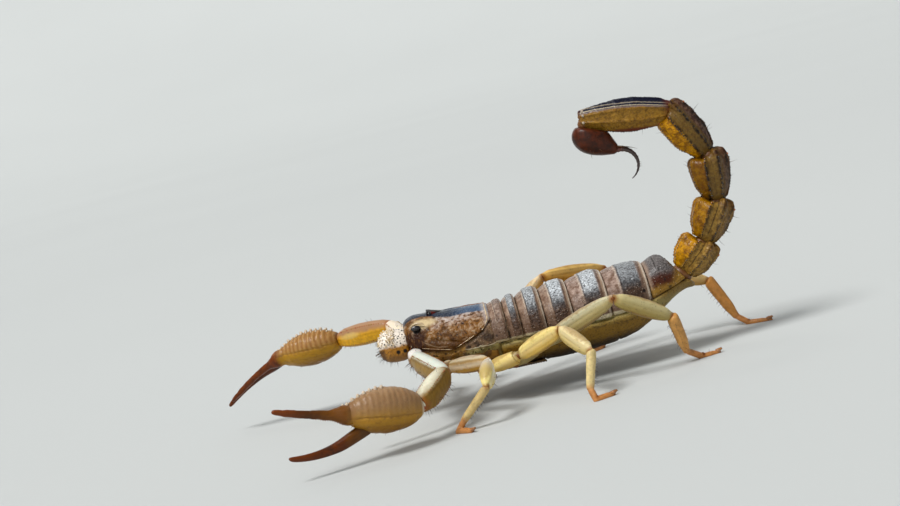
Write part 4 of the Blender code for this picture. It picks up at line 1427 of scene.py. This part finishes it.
arms = {
    "ivory": (226, 222, 196), "white": (226, 216, 196), "beige": (146, 114, 50), "streakAndShade": (96, 62, 20),
    "joint": (146, 68, 28), "mauve": (150, 116, 80), "rib": (118, 84, 54), "amber": (168, 122, 34),
    "amberLow": (122, 80, 6), "olive": (172, 126, 24), "line": (84, 52, 18), "paleRib": (170, 138, 104),
    "brownRib": (138, 92, 40), "farRib": (172, 130, 76), "oval": (214, 186, 112),
    "fingerDark": (62, 30, 12), "fingerRed": (106, 48, 6), "fingerTip": (114, 54, 16),
    "fingerAmber": (108, 63, 12), "fingerEdge": (170, 120, 84),
    "thick": {"trochanter": 1.9, "femur": 1.9, "patella": 2.5}, "palmHalf": 2.2,
    "ribs": 13, "ribHeight": {"left": 0.03, "right": 0.07},
    # where the palm's two colours meet: the slope of that seam, and how far below the axis it starts
    "seam": {"left": (0.1, 0.25), "right": (0.25, 0.05)},
    "wartSpan": {"left": (0.55, 1.12, 7), "right": (0.1, 1.08, 12)},      # from, to and how many
    # upper and lower colour of each link, the upper partly a painted highlight from above, and the height
    # at which they meet
    "links": {
        ("left", "trochanter"): ((222, 216, 208), (146, 110, 62), 0.1),
        ("left", "femur"): ((212, 216, 202), (146, 114, 50), 0.4),
        ("left", "patella"): ((226, 222, 196), (140, 104, 34), 0.5),
        ("right", "trochanter"): ((230, 216, 196), (190, 150, 80), 0.0),
        ("right", "femur"): ((232, 216, 190), (206, 166, 96), 0.0),
        ("right", "patella"): ((166, 124, 88), (214, 158, 26), 0.0),
    },
}


def armFinish(side, part, link, joints, thick):
    shell = limbShell(f"claw_{side}_{part}", arms)
    grain = shell.noise(2.0, 5, 0.62)
    h = shell.height(link, thick / 2) + (grain - 0.5) * 0.35
    t = shell.lengthwise(link)
    streaks = shell.noise(2.4, 4, 0.6, stretch=(1.8, 1.8, 0.6) if side == "left" else None)
    top, low, cut = arms["links"][side, part]
    top, low = shade(*top), shade(*low)
    lower = shell.mix(streaks.step(0.38, 0.6), dim(low, 0.8), low)
    # lighter above the meeting height: partly the link's own colour, partly painted highlight
    shell.colour = shell.mix(h.step(cut, cut + 0.5), lower, top)
    shell.lay(h.bell(cut, 0.16) * 0.3, "line")
    if part == "patella" and side == "right":
        oval = ((t - 0.7) / 0.22) ** 2 + ((h - 0.16) / 0.34) ** 2
        shell.lay(oval.step(1.2, 0.1) * 0.55, "oval")
    # painted shade along the underside
    shell.lay(h.step(-0.6, -1.0) * 0.5, "streakAndShade")
    for joint in joints:
        ringed(shell, joint, 0.42 * thick, "joint", 0.6)
    shell.bump(shell.noise(5, 4) * 0.6 + shell.cells(4.6).step(0.4, 0.1) * 0.4, 0.4, 0.06)
    return shell.done(grain * 0.2 + 0.24)


def handFinish(side, link):
    shell = limbShell(f"claw_{side}_hand", arms)
    grain = shell.noise(1.8, 5, 0.62)
    wobble = (grain - 0.5) * 0.25
    t = shell.lengthwise(link)
    h = shell.height(link, arms["palmHalf"]) + wobble
    ribs = ((t + wobble * 0.16) * (math.tau * arms["ribs"])).wave()
    if side == "left":
        upper = shell.mix(ribs * 0.3, "mauve", "rib")
        # painted highlight along the top edge of the palm
        upper = shell.mix(h.step(0.6, 1.0) * 0.5, upper, "paleRib")
        upper = shell.mix(h.step(0.4, -0.2) * 0.6, upper, "amber")
        lower = shell.mix(h.step(-0.3, -0.9), "amber", "amberLow")
    else:
        upper = shell.mix(ribs * 0.7 + 0.15, "brownRib", "farRib")
        lower = shell.mix(h.step(-0.2, -0.8), "olive", "amberLow")
    lower = shell.mix(grain.step(0.5, 0.7) * 0.35, lower, "streakAndShade")
    slope, drop = arms["seam"][side]
    seam = h - (t * slope - drop)
    shell.colour = shell.mix(seam.step(-0.2, 0.2), lower, upper)
    for at, weight in ((0.0, 0.3), (-0.42, 0.2)):
        shell.lay(seam.bell(at, 0.06) * weight, "line")
    if side == "left":
        shell.lay(t.step(0.05, 0.01) * 0.5, "white")
        shell.lay((t + wobble * 0.3).step(0.9, 1.12), "fingerAmber")
        shell.lay((t + wobble).step(1.25, 1.6) * 0.7, "fingerDark")
        shell.lay((t + wobble).step(1.55, 1.95), "fingerTip")
    else:
        shell.lay((t + wobble * 0.3).step(0.95, 1.1), "fingerRed")
        shell.lay(grain.step(0.45, 0.65) * t.step(1.0, 1.1) * 0.6, "fingerDark")
        ridge = (shell.along(link.top, link.start) + (t - 1) * (t - 1) * 2.2).step(0.55, 0.8)
        shell.lay(ridge * t.step(1.02, 1.12) * 0.6, "fingerEdge")
    shell.bump(shell.noise(4, 4) * 0.6 + shell.cells(4.6).step(0.4, 0.1) * 0.5, 0.4, 0.06)
    return shell.done(grain * 0.2 + 0.26)


def fingerFinish(side):
    shell = limbShell(f"claw_{side}_finger", arms)
    grain = shell.noise(1.8, 5, 0.62)
    low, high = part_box(f"claw_{side}_finger")
    low, high = toMillimetres @ low, toMillimetres @ high
    t = (high.x - shell.axis("X") + (grain - 0.5) * 0.8) / (high.x - low.x)
    root = "fingerAmber" if side == "left" else "fingerDark"
    first = shell.mix(grain, root, shell.dim(root, 0.5))
    shell.colour = shell.mix(t.step(0.12, 0.3), first, shell.dim("fingerRed", 0.75))
    shell.lay(t.bell(0.45, 0.3) * grain.step(0.4, 0.6), "fingerDark")
    shell.lay(t.step(0.06, 0.0), "line")
    if side == "left":
        shell.lay(t.step(0.6, 0.95), shell.dim("fingerTip", 0.75))
    shell.bump(grain + shell.noise(6, 3) * 0.5, 0.35, 0.05)
    return shell.done(grain * 0.2 + 0.2)


def reachTo(piece, root, aim, length, share):
    # draws the root end of a piece towards a point, so that it grows out of its neighbour
    tip = max(piece.data.vertices, key=lambda v: (v.co - root).length).co.copy()
    far = (tip - root).length
    for vertex in piece.data.vertices:
        near = smoothStep((vertex.co - tip).length / far, 0.72, 1.0)
        vertex.co += (aim - root).normalized() * length * share * near * near


def armLink(side, part, link, joints, rows):
    name, thick = f"arm{part}_{side}", arms["thick"][part]
    shell = copyOf(f"claw_{side}_{part}", name)
    roundOff(shell, 0.07, 5, 0.06, 2, 0.3)
    stretch(shell, link, 0.4)
    push(shell, 0.06, keeled(link, (42, 138), 22, 0.15))
    if part == "femur" and side == "left":      # this one is deeper below
        push(shell, 0.2, lambda p: smoothStep(abs(link.around(p)[1]), 70, 130)
            * smoothStep(link.around(p)[0], 0.0, 0.4) * smoothStep(link.around(p)[0], 1.1, 0.8))
    roughen(shell, waves, 0.07)
    settle(shell)
    finish(shell, armFinish(side, part, link, joints, thick), "leg", f"claw_{side}_{part}")
    count = int(link.length / 0.3)
    for keel in (42, 138, -42, -138):      # granules along the keels
        for place in range(2, count - 1):
            found = outside(name, link.at(place / count), link.out(keel))
            if found and part != "trochanter":
                rows.append(standing(*found, chance.uniform(0.05, 0.09), link.axis))
    growAlong(name, link, 30, (0.1, 0.95), (110, 250), 0.6 if side == "left" else 0.35, (0, 0, -1), 0.8)
    growAlong(name, link, 8, (0.1, 0.95), (-80, 80), 0.35, link.axis)


def handPiece(side, palm):
    slope, drop = arms["seam"][side]
    hand = copyOf(f"claw_{side}_hand", f"hand_{side}")
    roundOff(hand, 0.075, 6, 0.07, 2, 0.2)

    def ribbed(point):
        t, angle, _ = palm.around(point)
        wave = 0.5 - 0.5 * math.cos(math.tau * arms["ribs"] * t)
        return (wave * smoothStep(abs(angle), 90, 45) * smoothStep(t, 1.02, 0.95)
            * smoothStep(t, 0.05, 0.2))

    def seam(point):
        t = palm.around(point)[0]
        off = (point - palm.start).dot(palm.top) / arms["palmHalf"] - (t * slope - drop)
        return smoothStep(abs(off), 0.07, 0.0) * smoothStep(t, 1.0, 0.9) * smoothStep(t, 0.08, 0.2)

    # a soft passage from the palm to its fixed finger
    push(hand, 0.32, lambda p: smoothStep(abs(palm.around(p)[0] - 1.08), 0.2, 0.0))
    blend = group(hand, lambda p: smoothStep(abs(palm.around(p)[0] - 1.0), 0.26, 0.1))
    modify(hand, "SMOOTH", factor=0.6, iterations=int(60 / fine ** 2), vertex_group=blend)
    push(hand, arms["ribHeight"][side], ribbed)
    push(hand, -0.05, seam)
    roughen(hand, waves, 0.14)
    settle(hand)
    finish(hand, handFinish(side, palm), "hand", f"claw_{side}_hand")


def fingerPiece(side, palm):
    finger = copyOf(f"claw_{side}_finger", f"finger_{side}")
    roundOff(finger, 0.06, 6, 0.06, 2, 0.0)
    root = palm.at(1.0) - palm.axis * 1.6 + Vector((0, 0, -0.6))
    reachTo(finger, palm.end - palm.top * 1.5, root, 1.9, 0.75)
    settle(finger)
    finish(finger, fingerFinish(side), "finger", f"claw_{side}_finger")


def armPieces():
    balls, warts, teeth, rows = [], [], [], []
    for side in sides:
        joints, ways = palpLine(side)
        links = [Link(a, b) for a, b in zip(joints, joints[1:])]
        for number, part in enumerate(arms["thick"]):
            armLink(side, part, links[number], joints[number:number + 2], rows)
        palm = links[3]
        handPiece(side, palm)
        fingerPiece(side, palm)
        first, last, count = arms["wartSpan"][side]
        for turn in (-6, 18) if side == "left" else (0, -24, 24):
            for place in range(count):
                at = first + (last - first) * (place + (abs(turn) > 10) * 0.5) / count
                found = outside(f"hand_{side}", palm.at(at), palm.out(turn))
                if found:
                    size = (0.25 if abs(turn) < 10 else 0.17) * chance.uniform(0.8, 1.15)
                    warts.append(standing(found[0] - found[1] * 0.03, found[1],
                        (size * 0.8, size * 0.7, size * 1.2), palm.axis))
        for place in range(26):      # a row of teeth along the fixed finger's inner edge
            found = outside(f"hand_{side}", palm.at(1.12 + place * 0.032), palm.out(180), 4)
            if found:
                teeth.append(standing(*found, 0.06, palm.axis))
        growAlong(f"hand_{side}", palm, 40, (0.1, 1.0), (-180, 180), 0.3, palm.axis)
        for at, size in ((1, 0.62), (2, 0.62), (3, 0.56)):
            balls.append(standing(joints[at], ways[at - 1] + ways[at], size))
        balls.append(standing(joints[0] + ways[0] * 0.1, ways[0], 0.75))
    limbPiece(bigBead, balls, "armJoints", "leg", "arm_joints", arms, "joint", "ivory", 2, 3, (0.45, 0.6))
    limbPiece(bead, warts, "handWarts", "hand", "hand_warts", arms, "white", "paleRib", 2)
    grains = mottled("arm_granules", arms, 0.34, "joint", "beige", 1.5, 3, (0.45, 0.6), **limbGloss)
    finish(scatter(bead, rows, "armGranules"), grains, "leg")
    finish(scatter(bead, teeth, "fingerTeeth"), grains, "finger")


armPieces()
print("claws ready")


coat = {"dark": (34, 22, 16), "pale": (112, 78, 44)}


def bristlePiece():
    # every bristle of the animal, dark brown with paler patches
    places, rooms = zip(*bristles)
    finish(scatter(hair, places, "bristles", rooms), mottled("bristles", coat, 0.4, "dark", "pale", 1.2, 2,
        (0.4, 0.7)), "leg")


bristlePiece()
print("bristles ready")


for template in (bead, bigBead, thorn, hair):
    bpy.data.objects.remove(template)
